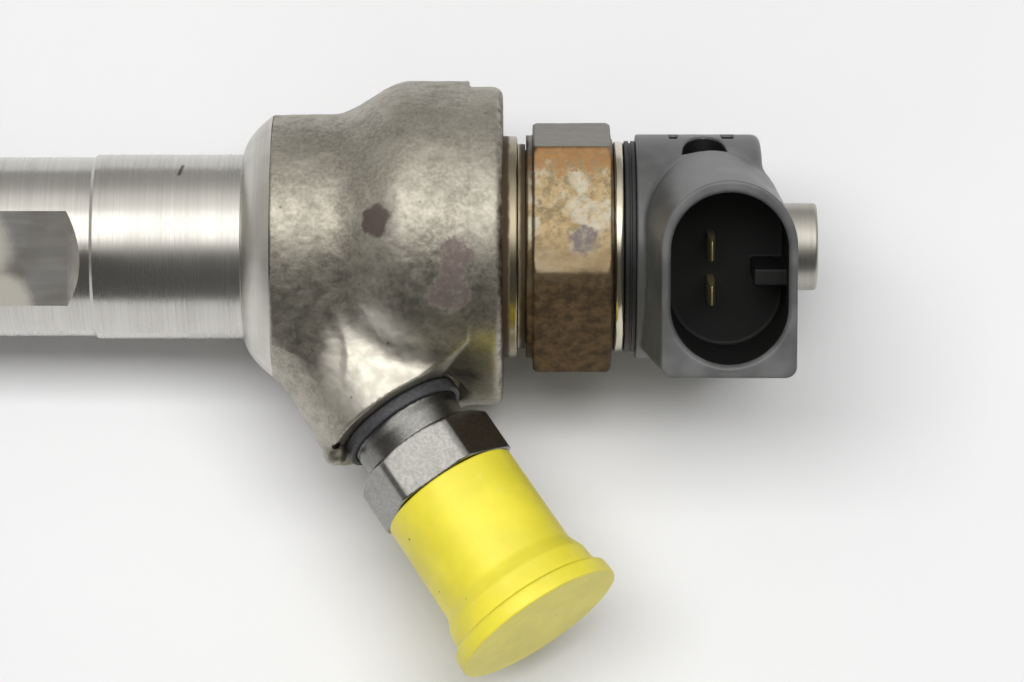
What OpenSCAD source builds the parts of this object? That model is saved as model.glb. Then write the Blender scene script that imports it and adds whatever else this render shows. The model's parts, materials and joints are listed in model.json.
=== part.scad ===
// Common-rail diesel fuel injector, electrically opened by a solenoid.
// The axis runs along X, from the nozzle tip to the return stub. The origin is
// on the axis, in the sealing face of the washer under the nozzle nut. The
// injector lies on its side: the high-pressure inlet points to -Y, and the
// electrical connector stands up between +Z and -Y. Millimetres.

/* [Lengths along the axis] */
// Nozzle tip beyond the sealing washer
nozzle_reach = 20; // [17:0.5:26]
// Thickness of the sealing washer
washer_t = 1.5; // [1:0.1:3]
// Length of the nozzle nut
nozzle_nut_len = 35.5; // [32:0.5:44]
// Length of the plain lower shaft
lower_shaft_len = 40.5; // [34:0.5:60]
// Length of the ground upper shaft
upper_shaft_len = 17; // [14:0.5:30]
// Length of the rounded collar
collar_len = 3.4; // [2:0.1:5]
// Length of the forged barrel
forging_len = 22.3; // [19:0.1:27]
// Length of the machined rim on the barrel
rim_len = 3.8; // [2:0.1:6]
// Length of the neck below the solenoid nut
neck_len = 2.5; // [1.5:0.1:4]
// Height of the solenoid nut
solenoid_nut_len = 9.9; // [9:0.1:12]
// Length of the plastic head
head_len = 14.2; // [13:0.1:17]
// Length of return stub that stands out of the head
stub_len = 6.5; // [4:0.1:12]

/* [Outside diameters] */
// Nozzle stem
stem_d = 7; // [6:0.1:8.4]
// Nozzle nut
nozzle_nut_d = 17; // [16.4:0.1:19]
// Lower shaft
lower_shaft_d = 20.4; // [18:0.1:24]
// Upper, ground shaft
upper_shaft_d = 21; // [18.6:0.1:25]
// Barrel next to the collar
forging_d = 30.2; // [27:0.1:36]
// Barrel at its thick end
barrel_d = 37.8; // [34:0.1:46]
// Neck below the solenoid nut
neck_d = 25.2; // [23:0.1:28]
// Solenoid nut, across its flats
solenoid_nut_af = 26; // [25.4:0.1:31.2]
// Plastic head
head_d = 25.6; // [25:0.1:31]
// Return stub
stub_d = 9.94; // [8.4:0.01:10.4]

/* [Clamp flats] */
// Depth of each flat below the lower shaft
flat_depth = 1.55; // [1:0.05:2.5]
// Length of each flat
flat_len = 21.9; // [15:0.1:28]
// Distance from the run-out of the flats to the upper shaft
flat_end_gap = 1.1; // [0.5:0.1:4]
// Turn of the flats and the connector about the axis, from +Z towards -Y
head_turn = 30; // [0:1:45]

/* [High-pressure inlet] */
// Angle between the inlet and the injector's axis
inlet_angle = 57; // [52:1:62]
// Inlet boss diameter at its face
boss_d = 18.6; // [17:0.1:22]
// How far the boss's machined face stands out past the barrel
boss_rise = 5.6; // [5.1:0.1:9.1]
// Thread for the pressure pipe's union nut
inlet_thread_d = 14; // [12:0.1:16.8]
// Length of that thread
inlet_thread_len = 16.6; // [14:0.1:20]
// Hexagon on the inlet fitting, across its flats
inlet_hex_af = 15; // [14.6:0.1:17.8]
// Length of the hexagon
inlet_hex_len = 5.7; // [4:0.1:7]
// Neck between the boss and the hexagon
inlet_neck_len = 3.1; // [2:0.1:7]
// Wall of the transport cap
cap_wall = 0.95; // [0.7:0.05:1.6]
// Flange diameter of the transport cap
cap_flange_d = 20.1; // [18.9:0.1:24]

/* [Electrical connector] */
// Outside width of the connector, along the axis
plug_w = 14.86; // [13:0.1:17]
// Outside height of the connector, across the axis
plug_h = 21.5; // [20:0.1:25.8]
// How far the connector's mouth stands above the head
plug_rise = 13.2; // [11:0.1:18]
// Side and top wall of the connector
plug_wall = 0.98; // [0.8:0.02:1.4]
// Pitch of the two terminals
pin_pitch = 5; // [4:0.1:5.4]
// Terminal blade width
pin_w = 2.8; // [2:0.1:3]
// Terminal blade thickness
pin_t = 0.8; // [0.6:0.05:1]

/* [Nozzle and control rod] */
// Needle guide diameter
needle_d = 4; // [3.6:0.1:4.4]
// Needle lift
needle_lift = 0.25; // [0.15:0.01:0.35]
// Control piston diameter
piston_d = 4.3; // [4:0.1:4.6]
// Bore that holds the nozzle spring
spring_bore_d = 7.4; // [6.8:0.1:7.6]
// Length of the nozzle spring's chamber
spring_bore_len = 30; // [26:0.5:36]
// Nozzle spring wire
nozzle_spring_wire = 1.1; // [0.8:0.05:1.2]

/* [Solenoid valve] */
// Valve ball
ball_d = 1.34; // [1:0.02:1.5]
// Armature lift
armature_lift = 0.05; // [0.03:0.01:0.08]
// Free travel of the armature plate on its bolt
plate_overtravel = 0.05; // [0.02:0.01:0.08]
// Armature bolt guide diameter
bolt_d = 3.9; // [3.5:0.1:4.2]
// Residual gap between armature plate and magnet when open
air_gap = 0.05; // [0.03:0.01:0.1]
// Armature lift shim
lift_shim_t = 1; // [0.8:0.05:1.5]
// Air gap shim
air_shim_t = 1.95; // [1.7:0.05:2.4]
// Spigot wall around the magnet
spigot_wall = 1.6; // [1.2:0.05:1.8]
// Magnet sleeve wall
sleeve_wall = 0.5; // [0.4:0.05:0.6]

/* [Fits, radial] */
// Running fit of the needle, the piston and the armature bolt
run_gap = 0.02; // [0.01:0.005:0.05]
// Between a thread and its mate
thread_gap = 0.05; // [0.02:0.01:0.1]
// Between pieces that are pushed together
seat_gap = 0.05; // [0.03:0.01:0.1]
// Between the transport cap and the thread
cap_gap = 0.1; // [0.05:0.05:0.3]

/* [Hidden] */
$fn = 72;
eps = 0.01; // cuts run this far past a face
rest_gap = 0.01; // between faces of moving pieces that touch at rest

// stations along the axis, from the nozzle to the stub
x_nozzle_nut_top = washer_t + nozzle_nut_len;
x_shaft_foot = x_nozzle_nut_top + 0.5;
x_shaft_step = x_nozzle_nut_top + lower_shaft_len;
x_collar = x_shaft_step + upper_shaft_len;
x_forging = x_collar + collar_len;
x_rim = x_forging + forging_len;
x_neck = x_rim + rim_len;
x_nut_seat = x_neck + neck_len;
x_nut_top = x_nut_seat + solenoid_nut_len;
sleeve_ring_t = 1.3;
seal_ring_t = 1.3;
x_sleeve_top = x_nut_top + sleeve_ring_t;
x_head = x_sleeve_top + seal_ring_t;
x_head_end = x_head + head_len;
x_stub_end = x_head_end + stub_len;

// outside radii
stem_r = stem_d / 2;
nozzle_nut_r = nozzle_nut_d / 2;
lower_shaft_r = lower_shaft_d / 2;
upper_shaft_r = upper_shaft_d / 2;
forging_r = forging_d / 2;
barrel_r = barrel_d / 2;
rim_step = 0.9;
rim_r = barrel_r - rim_step;
rim_round = 1.3;
neck_r = neck_d / 2;
head_r = head_d / 2;
stub_r = stub_d / 2;

// nozzle end
nozzle_shoulder = 4; // nut floor, from the washer to the nozzle's shoulder
nozzle_head_len = 14.5; // thick part of the nozzle body
nut_wall = 1.3;
x_shoulder = washer_t + nozzle_shoulder;
x_face = x_shoulder + nozzle_head_len; // nozzle body meets injector body
nut_bore_r = nozzle_nut_r - nut_wall;
nozzle_head_r = nut_bore_r - 0.1;
nose_r = nut_bore_r - thread_gap;
neck_opening_r = stem_r + 1.15;
washer_land = 0.2; // the stem is this much thicker where the washer sits
nut_lip = 0.2; // the nozzle nut is this much thinner above its hexagon
nozzle_hex_len = 10;
nozzle_hex_r = nozzle_nut_r - 0.5; // half its width across flats
nozzle_hex_gap = 2; // from the hexagon to the end of the nut
washer_r = nozzle_nut_r - 1.1;
needle_r = needle_d / 2;
needle_shank_r = needle_r - 0.4;
stem_bore_r = needle_r + 0.1;
spring_bore_r = spring_bore_d / 2;
x_spring_top = x_face + spring_bore_len;
piston_r = piston_d / 2;
rod_r = piston_r - 0.15;
rod_passage_r = piston_r + 0.15;
seat_half_angle = 30;
x_tip = -nozzle_reach;
x_seat_cone = x_tip + 4; // where the needle's seat cone starts
seat_cone_depth = (stem_bore_r - 0.5) / tan(seat_half_angle);
spray_hole_r = 0.1;
spray_holes = 7;
dowel_r = 0.75;
dowel_len = 5;
dowel_circle_r = 5.3;

// solenoid stack, counted down from the top of the body's spigot
spigot_r = solenoid_nut_af / 2 - 2;
cavity_r = spigot_r - spigot_wall;
x_spigot_top = x_nut_top - 2.4;
magnet_drop = 10.55;
solenoid_nut_turn = 32.6; // a corner of the hexagon, from +Z towards -Y
x_magnet = x_spigot_top - magnet_drop; // face of the magnet core
guide_flange_t = 2.5;
x_guide_top = x_magnet - air_shim_t;
x_ledge = x_guide_top - guide_flange_t - lift_shim_t;
clamp_len = 6;
x_valve_top = x_ledge - 2 - clamp_len;
valve_flange_t = 4;
x_valve = x_valve_top - valve_flange_t; // shoulder that the valve piece sits on
chamber_top = x_valve - 0.55; // end of the control chamber, in the valve piece
valve_shank_len = 14;
x_gallery = x_valve - valve_shank_len;
seal_t = 1.2;
clamp_r = cavity_r - 1.2;
valve_flange_r = 6.4;
valve_shank_r = 3.9;
gallery_r = valve_shank_r + 0.5;
sleeve_r = cavity_r - seat_gap;
core_r = sleeve_r - sleeve_wall - seat_gap;
core_bore_r = 3.1;
slot_in_r = 4.6;
slot_out_r = core_r - 1.5;
core_len = x_spigot_top + 0.4 - x_magnet;
slot_depth = 7.55;
coil_from = x_magnet + 1.15;
coil_to = x_magnet + slot_depth - 0.85;
coil_in_r = slot_in_r + 0.7;
bolt_r = bolt_d / 2;
bolt_neck_r = 1.5;
groove_r = 1;
plate_r = cavity_r - 1.4;
plate_t = 1.35;
x_plate_top = x_magnet - air_gap - armature_lift;
x_plate = x_plate_top - plate_t;
retainer_t = 0.58;
x_retainer = x_plate_top + rest_gap;
spring_land = 1.24; // from the retaining washer's groove to the valve spring's seat
x_bolt_land = x_retainer + spring_land;
force_shim_t = 1.1;
x_stub_foot = x_magnet + core_len + 0.1;
ball_r = ball_d / 2;
throttle_r = 0.25;
// the ball touches a 45 degree cone whose narrow end is the outlet throttle
seat_depth = 0.75;
x_ball = x_valve_top - seat_depth - throttle_r + ball_r * sqrt(2) + 0.015;
x_holder = x_ball + 0.2;
holder_len = 1.4;
x_bolt_foot = x_holder + holder_len;

// return stub
stub_bore_r = 3;
stub_neck_r = 2.4;
stub_port_len = 12;
stub_flange_r = 5.5;
stub_flange_t = 1.7;
stub_shank_r = stub_r - 0.3; // inside the head, which is moulded round it
sleeve_hole_r = stub_r + 0.35;

// inlet
x_inlet = x_valve - 7.1; // where the inlet's axis meets the injector's
boss_reach = barrel_r + boss_rise;
boss_root_r = boss_d / 2 - 0.8;
boss_half_h = 8.6; // half height of the web between boss and rim
inlet_socket_r = 6;
inlet_socket_floor = (clamp_r + 4.38) / sin(inlet_angle); // clears the clamp screw
inlet_drill_r = 1;
feed_r = 0.8;
feed_offset = 5.8; // the nozzle's feed drilling, next to the gallery
feed_foot = 4.9; // and at the nozzle's face
t_seal = boss_reach;
inlet_seal_t = 1.5;
inlet_seal_r = 7.3;
spot_gap = 0.8;
t_hex = boss_reach + 1.7 + inlet_neck_len;
t_thread = t_hex + inlet_hex_len;
t_inlet_end = t_thread + inlet_thread_len;
inlet_thread_r = inlet_thread_d / 2;
inlet_neck_r = 6.5;
inlet_hex_turn = 12.8; // a corner of the hexagon, about the inlet's axis
inlet_bore_r = 2;
filter_len = 22;
cap_bore_r = inlet_thread_r + cap_gap;
cap_r = cap_bore_r + cap_wall;
t_cap = t_thread + 0.1;
cap_floor = 1.5;
t_cap_end = t_inlet_end + 0.3 + cap_floor;
cap_flange_t = 2;
cap_bead_t = 2.6;

// connector, in the frame that head_turn gives: Z away from the axis, -Y down
plug_x = x_head + 9.8; // middle of the connector along the axis
plug_floor = head_r + 0.2;
plug_mouth = head_r + plug_rise;
plug_root = 6;
plug_corner = 1.3;
plug_flare = 1.4; // the root is this much wider than the mouth, each way
cavity_w = plug_w - 2 * plug_wall;
cavity_h = plug_h - 2 * plug_wall;
pin_x = plug_x - 1.7;
pin_rise = 6.5; // blade above the connector's floor
pin_foot = stub_r + seat_gap + 0.1;
lead_offset = 5.5;
lead_r = 0.4;
lead_hole_r = 0.6;
key_reach = 3.6;
key_w = 1.83;
key_drop = 4;

// ---- helpers

// Turns a profile of [radius, station] points about the injector's axis.
module lathe(profile) {
    rotate([0, 90, 0]) rotate_extrude() polygon(profile);
}

module rod(r, from, to) {
    translate([from, 0, 0]) rotate([0, 90, 0]) cylinder(r = r, h = to - from);
}

module ring(r_in, r_out, from, to) {
    difference() {
        rod(r_out, from, to);
        rod(r_in, from - eps, to + eps);
    }
}

module cone(r_from, r_to, from, to) {
    translate([from, 0, 0]) rotate([0, 90, 0]) cylinder(r1 = r_from, r2 = r_to, h = to - from);
}

// Turns about the axis, from +Z towards -Y.
module turned(azimuth) {
    rotate([azimuth, 0, 0]) children();
}

// Frame of the high-pressure inlet: Z runs out along it, from the injector's axis.
module on_inlet() {
    translate([x_inlet, 0, 0]) rotate([90, 0, 90 - inlet_angle]) children();
}

// A straight drilling between two points in the plane of the inlet.
module drilling(r, from, to) {
    step = to - from;
    translate([from[0], from[1], 0])
        rotate([0, 90, atan2(step[1], step[0])]) cylinder(r = r, h = norm(step));
}

// Leads of the coil, two places beside the return stub.
module at_leads() {
    for (side = [-1, 1])
        turned(head_turn) translate([0, side * pin_pitch / 2, lead_offset]) children();
}

// A round wire wound into a compression spring.
// Its triangles follow the helix, since a spring has no simpler true surface.
module spring(mean_r, wire_r, from, to, turns) {
    sides = 6;
    per_turn = 12;
    steps = turns * per_turn;
    run = to - from - 2 * wire_r;
    function bead(i, k) = let (a = 360 * i / per_turn, b = 360 * k / sides,
        r = mean_r + wire_r * cos(b))
        [from + wire_r + run * i / steps + wire_r * sin(b), r * cos(a), r * sin(a)];
    points = [for (i = [0:steps]) for (k = [0:sides - 1]) bead(i, k)];
    walls = [for (i = [0:steps - 1]) for (k = [0:sides - 1]) let (n = (k + 1) % sides)
        [i * sides + k, i * sides + n, (i + 1) * sides + n, (i + 1) * sides + k]];
    foot = [[for (k = [sides - 1:-1:0]) k]];
    top = [[for (k = [0:sides - 1]) steps * sides + k]];
    polyhedron(points = points, faces = concat(walls, foot, top), convexity = 8);
}

function smooth(s) = s * s * (3 - 2 * s);

// ---- body

module body_outline() {
    swell_len = 9; // the barrel widens over this length, short of its rim
    swell_to = x_rim - 6.7;
    swell_from = swell_to - swell_len;
    lathe(concat(
        [[0, x_face], [nose_r - 0.6, x_face], [nose_r, x_face + 0.6],
         [nose_r, x_shaft_foot], [lower_shaft_r - 1, x_shaft_foot],
         [lower_shaft_r, x_shaft_foot + 1], [lower_shaft_r, x_shaft_step],
         [upper_shaft_r, x_shaft_step + 0.4]],
        [for (a = [0:15:90])
            [upper_shaft_r + (forging_r - 0.1 - upper_shaft_r) * (sin(a) + 1 - cos(a)) / 2,
             x_collar + collar_len * (1 - cos(a))]],
        [for (i = [0:8])
            [forging_r + (barrel_r - forging_r) * smooth(i / 8), swell_from + swell_len * i / 8]],
        [[barrel_r, x_rim], [rim_r, x_rim]],
        [for (a = [0:30:90])
            [rim_r - rim_round * (1 - cos(a)), x_neck - rim_round * (1 - sin(a))]],
        [[neck_r, x_neck], [neck_r, x_nut_seat], [spigot_r, x_nut_seat],
         [spigot_r, x_spigot_top - 0.5], [spigot_r - 0.5, x_spigot_top], [0, x_spigot_top]]
    ));
}

module clamp_flats() {
    run_out = 1.5;
    x_to = x_shaft_step - flat_end_gap;
    x_from = x_to - run_out - flat_len;
    flat_r = lower_shaft_r - flat_depth;
    for (side = [0, 180]) turned(head_turn + side)
        rotate([90, 0, 0]) translate([0, 0, -lower_shaft_r])
            linear_extrude(2 * lower_shaft_r)
                polygon([[x_from, flat_r], [x_to - run_out, flat_r],
                    [x_to + run_out, flat_r + 2 * run_out], [x_from, flat_r + 2 * run_out]]);
}

module body_bores() {
    rod(spring_bore_r, x_face - eps, x_spring_top);
    rod(rod_passage_r, x_face, x_valve);
    rod(gallery_r, x_gallery - seal_t, x_valve + eps);
    rod(valve_flange_r + 0.1, x_valve, x_valve_top + eps);
    rod(clamp_r + thread_gap, x_valve_top, x_ledge + eps);
    rod(cavity_r, x_ledge, x_spigot_top + 1);
    rod(cavity_r + 1, x_spigot_top - 1, x_spigot_top + 1);
    at_dowels() cylinder(r = dowel_r + seat_gap, h = dowel_len / 2 + 0.2);
    // feed from the inlet to the nozzle, and the leak-off back up from the spring
    drilling(feed_r, [x_face - eps, -feed_foot], [x_inlet + 3.76, -feed_offset]);
    drilling(0.6, [x_face + 4, spring_bore_r - 0.3], [x_valve_top + 1, clamp_r - 1]);
    on_inlet() {
        cylinder(r = inlet_drill_r, h = inlet_socket_floor + eps);
        translate([0, 0, inlet_socket_floor])
            cylinder(r = inlet_socket_r + thread_gap, h = boss_reach);
        // spot face, which also clears the side of the barrel
        translate([0, 0, boss_reach]) cylinder(r = inlet_seal_r + spot_gap, h = barrel_r);
    }
}

// Web that fills the corner between the boss and the rim, flush with the boss face.
module boss_web() {
    out = [cos(inlet_angle), -sin(inlet_angle)];
    face = [x_inlet, 0] + boss_reach * out;
    y_corner = -(boss_reach - (x_rim - x_inlet) * out[0]) / sin(inlet_angle);
    linear_extrude(2 * boss_half_h, center = true)
        polygon([[face[0] - 5, -forging_r / 2], [x_rim, -forging_r / 2], [x_rim, y_corner], face]);
}

module injector_body() {
    color([0.55, 0.53, 0.49]) difference() {
        union() {
            body_outline();
            on_inlet() cylinder(r1 = boss_root_r, r2 = boss_d / 2, h = boss_reach);
            boss_web();
        }
        body_bores();
        clamp_flats();
    }
}

// ---- nozzle

module at_dowels() {
    for (azimuth = [0, 160]) turned(azimuth)
        translate([x_face, 0, dowel_circle_r]) rotate([0, 90, 0]) children();
}

module dowel_pins() {
    color([0.6, 0.6, 0.62]) at_dowels()
        translate([0, 0, -dowel_len / 2]) cylinder(r = dowel_r, h = dowel_len);
}

module nozzle_body() {
    gallery_to = x_face - 10.5;
    color([0.45, 0.45, 0.47]) difference() {
        lathe([[0, x_tip], [0.9, x_tip + 0.2], [1.6, x_tip + 0.9], [2, x_tip + 1.8],
            [stem_r, x_tip + 4.4], [stem_r, -0.3], [stem_r + washer_land, -0.3],
            [stem_r + washer_land, washer_t + 0.3],
            [neck_opening_r - 0.05, washer_t + 0.3], [neck_opening_r - 0.05, x_shoulder],
            [nozzle_head_r, x_shoulder], [nozzle_head_r, x_face - 0.4],
            [nozzle_head_r - 0.4, x_face], [0, x_face]]);
        rod(needle_r + run_gap, gallery_to - eps, x_face + eps);
        rod(needle_r + 1, gallery_to - 6, gallery_to);
        rod(stem_bore_r, x_seat_cone, gallery_to);
        cone(0.5, stem_bore_r, x_seat_cone - seat_cone_depth, x_seat_cone + eps);
        rod(0.5, x_tip + 0.8, x_seat_cone - seat_cone_depth + eps);
        drilling(feed_r - 0.05, [x_face + eps, -feed_foot], [gallery_to - 3.8, -needle_r - 0.4]);
        at_dowels() translate([0, 0, -dowel_len / 2 - 0.2])
            cylinder(r = dowel_r + seat_gap, h = dowel_len);
        for (i = [0:spray_holes - 1]) turned(360 * i / spray_holes)
            translate([x_tip + 1.2, 0, 0]) rotate([0, -16, 0]) cylinder(r = spray_hole_r, h = 3);
    }
}

module nozzle_needle() {
    lean = tan(seat_half_angle);
    x_shank = x_seat_cone - (stem_bore_r - needle_shank_r) / lean + 2 * rest_gap;
    x_blunt = x_seat_cone - (stem_bore_r - 0.55) / lean + 2 * rest_gap;
    color([0.62, 0.62, 0.64]) lathe([[0, x_blunt - 0.3], [0.55, x_blunt],
        [needle_shank_r, x_shank], [needle_shank_r, x_face - 11.5],
        [needle_r, x_face - 10.8], [needle_r, x_face], [0, x_face]]);
}

module nozzle_retaining_nut() {
    hex_to = x_nozzle_nut_top - nozzle_hex_gap;
    hex_from = hex_to - nozzle_hex_len;
    color([0.30, 0.29, 0.28]) difference() {
        union() {
            lathe([[neck_opening_r, washer_t], [nozzle_nut_r - 1.2, washer_t],
                [nozzle_nut_r, washer_t + 1.5], [nozzle_nut_r, hex_from],
                [nozzle_hex_r - 0.3, hex_from], [nozzle_hex_r - 0.3, hex_to],
                [nozzle_nut_r - nut_lip, hex_to], [nozzle_nut_r - nut_lip, x_nozzle_nut_top],
                [neck_opening_r, x_nozzle_nut_top]]);
            intersection() {
                translate([hex_from, 0, 0]) rotate([0, 90, 0])
                    cylinder(r = nozzle_hex_r / cos(30), h = nozzle_hex_len, $fn = 6);
                lathe([[0, hex_from], [nozzle_nut_r, hex_from], [nozzle_nut_r + 0.8, hex_from + 1.2],
                    [nozzle_nut_r + 0.8, hex_to], [0, hex_to]]);
            }
        }
        rod(neck_opening_r, washer_t - eps, x_nozzle_nut_top);
        rod(nut_bore_r, x_shoulder, x_nozzle_nut_top + eps);
    }
}

module combustion_washer() {
    color([0.72, 0.45, 0.30]) ring(stem_r + 0.25, washer_r, 0, washer_t);
}

module pressure_pin() {
    seat_r = spring_bore_r - 0.4;
    color([0.62, 0.62, 0.64]) lathe([[0, x_face], [needle_r - 0.5, x_face],
        [needle_r - 0.5, x_face + 0.2], [seat_r, x_face + 0.2], [seat_r, x_face + 2.2],
        [rod_r - 0.1, x_face + 2.2], [rod_r - 0.1, x_face + 6], [0, x_face + 6]]);
}

module nozzle_spring() {
    wire_r = nozzle_spring_wire / 2;
    color([0.35, 0.35, 0.37]) spring(spring_bore_r - 0.2 - wire_r, wire_r,
        x_face + 2.2 + rest_gap, x_spring_top - 1.5 - rest_gap, 14);
}

module opening_shim() {
    color([0.65, 0.65, 0.66]) ring(rod_passage_r + 0.1, spring_bore_r - 0.1,
        x_spring_top - 1.5, x_spring_top);
}

module control_piston() {
    guide_from = x_gallery + 0.5;
    nose_from = x_valve - 1.6;
    color([0.66, 0.66, 0.68]) lathe([[0, x_face + 6 + rest_gap], [rod_r, x_face + 6 + rest_gap],
        [rod_r, guide_from - 0.4], [piston_r, guide_from], [piston_r, nose_from],
        [1.4, nose_from], [1.4, chamber_top - needle_lift], [0, chamber_top - needle_lift]]);
}

// ---- valve

module valve_piece() {
    color([0.58, 0.58, 0.60]) difference() {
        union() {
            rod(valve_shank_r, x_gallery, x_valve + eps);
            rod(valve_flange_r, x_valve, x_valve_top);
        }
        rod(piston_r + run_gap, x_gallery - eps, chamber_top);
        rod(throttle_r, chamber_top - eps, x_valve_top + eps);
        cone(throttle_r, throttle_r + seat_depth + eps, x_valve_top - seat_depth, x_valve_top + eps);
        // inlet throttle, from the gallery into the control chamber
        translate([chamber_top - 0.45, 0, 0]) rotate([-90, 0, 0]) cylinder(r = 0.15, h = gallery_r);
    }
}

module valve_piece_seal_ring() {
    color([0.75, 0.72, 0.60]) ring(rod_passage_r + 0.3, gallery_r - 0.02, x_gallery - seal_t, x_gallery);
}

module valve_clamp_screw() {
    color([0.32, 0.32, 0.33]) difference() {
        ring(4.6, clamp_r, x_valve_top, x_valve_top + clamp_len);
        translate([x_valve_top + 2.5, 0, 0]) rotate([0, 90, 0])
            cylinder(r = 5.4, h = clamp_len, $fn = 6);
    }
}

module valve_ball() {
    color([0.80, 0.80, 0.82]) translate([x_ball, 0, 0]) sphere(r = ball_r);
}

module ball_holder() {
    color([0.60, 0.60, 0.62]) difference() {
        rod(1.6, x_holder, x_holder + holder_len);
        translate([x_ball, 0, 0]) sphere(r = ball_r + rest_gap);
    }
}

module armature_bolt() {
    shoulder = x_plate - plate_overtravel - rest_gap;
    color([0.66, 0.66, 0.68]) lathe([[0, x_bolt_foot], [bolt_r - 0.5, x_bolt_foot],
        [bolt_r, x_bolt_foot + 0.5], [bolt_r, shoulder], [bolt_neck_r, shoulder],
        [bolt_neck_r, x_retainer], [groove_r, x_retainer],
        [groove_r, x_retainer + retainer_t + 0.02], [bolt_neck_r, x_retainer + retainer_t + 0.02],
        [bolt_neck_r, x_bolt_land], [groove_r, x_bolt_land], [groove_r, x_bolt_land + 1.4],
        [0, x_bolt_land + 1.4]]);
}

module armature_guide() {
    hub_r = 4.2;
    x_flange = x_guide_top - guide_flange_t;
    color([0.52, 0.52, 0.54]) difference() {
        union() {
            rod(hub_r, x_bolt_foot + 1.2, x_flange + eps);
            rod(sleeve_r, x_flange, x_guide_top);
        }
        rod(bolt_r + run_gap, x_bolt_foot, x_guide_top + eps);
        rod(hub_r - 0.2, x_flange + 1, x_guide_top + eps);
        for (i = [0:2]) turned(120 * i) translate([x_flange - eps, 0, 6.4])
            rotate([0, 90, 0]) cylinder(r = 1.4, h = guide_flange_t + 1);
    }
}

module lift_shim() {
    color([0.70, 0.70, 0.70]) ring(cavity_r - 1, sleeve_r, x_ledge, x_ledge + lift_shim_t);
}

module air_gap_shim() {
    color([0.70, 0.70, 0.70]) ring(cavity_r - 1, sleeve_r, x_guide_top, x_magnet);
}

module overtravel_spring() {
    color([0.40, 0.40, 0.42]) spring(2.9, 0.3, x_guide_top - guide_flange_t + 1 + rest_gap,
        x_plate - rest_gap, 2);
}

module armature_plate() {
    color([0.48, 0.48, 0.50]) difference() {
        ring(bolt_neck_r + 0.03, plate_r, x_plate, x_plate_top);
        for (i = [0:5]) turned(60 * i) translate([x_plate - eps, 0, 5.2])
            rotate([0, 90, 0]) cylinder(r = 0.9, h = plate_t + 1);
    }
}

module retaining_washer() {
    color([0.68, 0.68, 0.70]) difference() {
        ring(groove_r + 0.02, 2.6, x_retainer, x_retainer + retainer_t);
        translate([x_retainer - eps, -groove_r - 0.02, 0])
            cube([retainer_t + 1, 2 * groove_r + 0.04, 3]);
    }
}

module valve_spring() {
    color([0.40, 0.40, 0.42]) spring(1.3, 0.25, x_bolt_land + rest_gap,
        x_stub_foot - force_shim_t - rest_gap, 7);
}

module spring_force_shim() {
    color([0.70, 0.70, 0.70]) ring(0.8, core_bore_r - 0.15, x_stub_foot - force_shim_t, x_stub_foot);
}

// ---- solenoid

module magnet_core() {
    color([0.25, 0.25, 0.26]) difference() {
        ring(core_bore_r, core_r, x_magnet, x_magnet + core_len);
        ring(slot_in_r, slot_out_r, x_magnet - eps, x_magnet + slot_depth);
        at_leads() rotate([0, 90, 0]) cylinder(r = lead_hole_r, h = x_stub_end);
    }
}

module coil_bobbin() {
    color([0.15, 0.13, 0.10]) difference() {
        ring(slot_in_r + 0.05, slot_out_r - 0.05, x_magnet + 0.35, x_magnet + slot_depth);
        ring(coil_in_r, slot_out_r, coil_from, coil_to);
    }
}

module coil() {
    color([0.72, 0.38, 0.18]) ring(coil_in_r, slot_out_r - 0.1, coil_from, coil_to);
}

module magnet_sleeve() {
    lip_r = spigot_r - 0.8;
    x_flange_top = x_spigot_top + 1.3;
    ring_r = spigot_r + 1;
    color([0.62, 0.60, 0.55]) difference() {
        lathe([[sleeve_r - sleeve_wall, x_magnet], [sleeve_r, x_magnet], [sleeve_r, x_spigot_top + 0.1],
            [spigot_r, x_spigot_top + 0.1], [spigot_r, x_flange_top], [lip_r, x_flange_top],
            [lip_r, x_nut_top + seat_gap], [ring_r, x_nut_top + seat_gap],
            [ring_r, x_sleeve_top], [sleeve_hole_r, x_sleeve_top],
            [sleeve_hole_r, x_sleeve_top - 1.35], [sleeve_r - sleeve_wall, x_sleeve_top - 1.35]]);
        at_leads() rotate([0, 90, 0]) translate([0, 0, x_spigot_top])
            cylinder(r = lead_hole_r, h = head_len);
    }
}

module solenoid_nut() {
    lip_r = spigot_r - 0.7;
    corner_r = solenoid_nut_af / 2 / cos(30);
    x_foot = x_nut_seat + 0.1;
    washer_face = 0.7;
    x_hex = x_foot + washer_face;
    chamfer = 0.5;
    color([0.45, 0.37, 0.24]) difference() {
        union() {
            rod(neck_r + 0.1, x_foot, x_hex + eps);
            intersection() {
                translate([x_hex, 0, 0]) turned(solenoid_nut_turn) rotate([0, 90, 0])
                    cylinder(r = corner_r, h = x_nut_top - x_hex, $fn = 6);
                lathe([[0, x_hex], [corner_r - chamfer, x_hex], [corner_r, x_hex + chamfer],
                    [corner_r, x_nut_top - chamfer], [corner_r - chamfer, x_nut_top], [0, x_nut_top]]);
            }
        }
        rod(spigot_r + thread_gap, x_foot - eps, x_spigot_top + 1.35);
        rod(lip_r, x_foot, x_nut_top + eps);
    }
}

module solenoid_o_ring() {
    wire = 0.47;
    color([0.08, 0.08, 0.08]) translate([x_spigot_top - 0.45, 0, 0]) rotate([0, 90, 0])
        rotate_extrude() translate([sleeve_r + wire + 0.02, 0]) circle(r = wire);
}

module head_seal_ring() {
    color([0.06, 0.06, 0.06]) difference() {
        ring(spigot_r - 0.8, spigot_r + 1.05, x_sleeve_top + 0.02, x_head - 0.02);
        ring(spigot_r + 0.85, spigot_r + 2, x_sleeve_top + 0.45, x_sleeve_top + 0.8);
    }
}

// ---- connector

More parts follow.
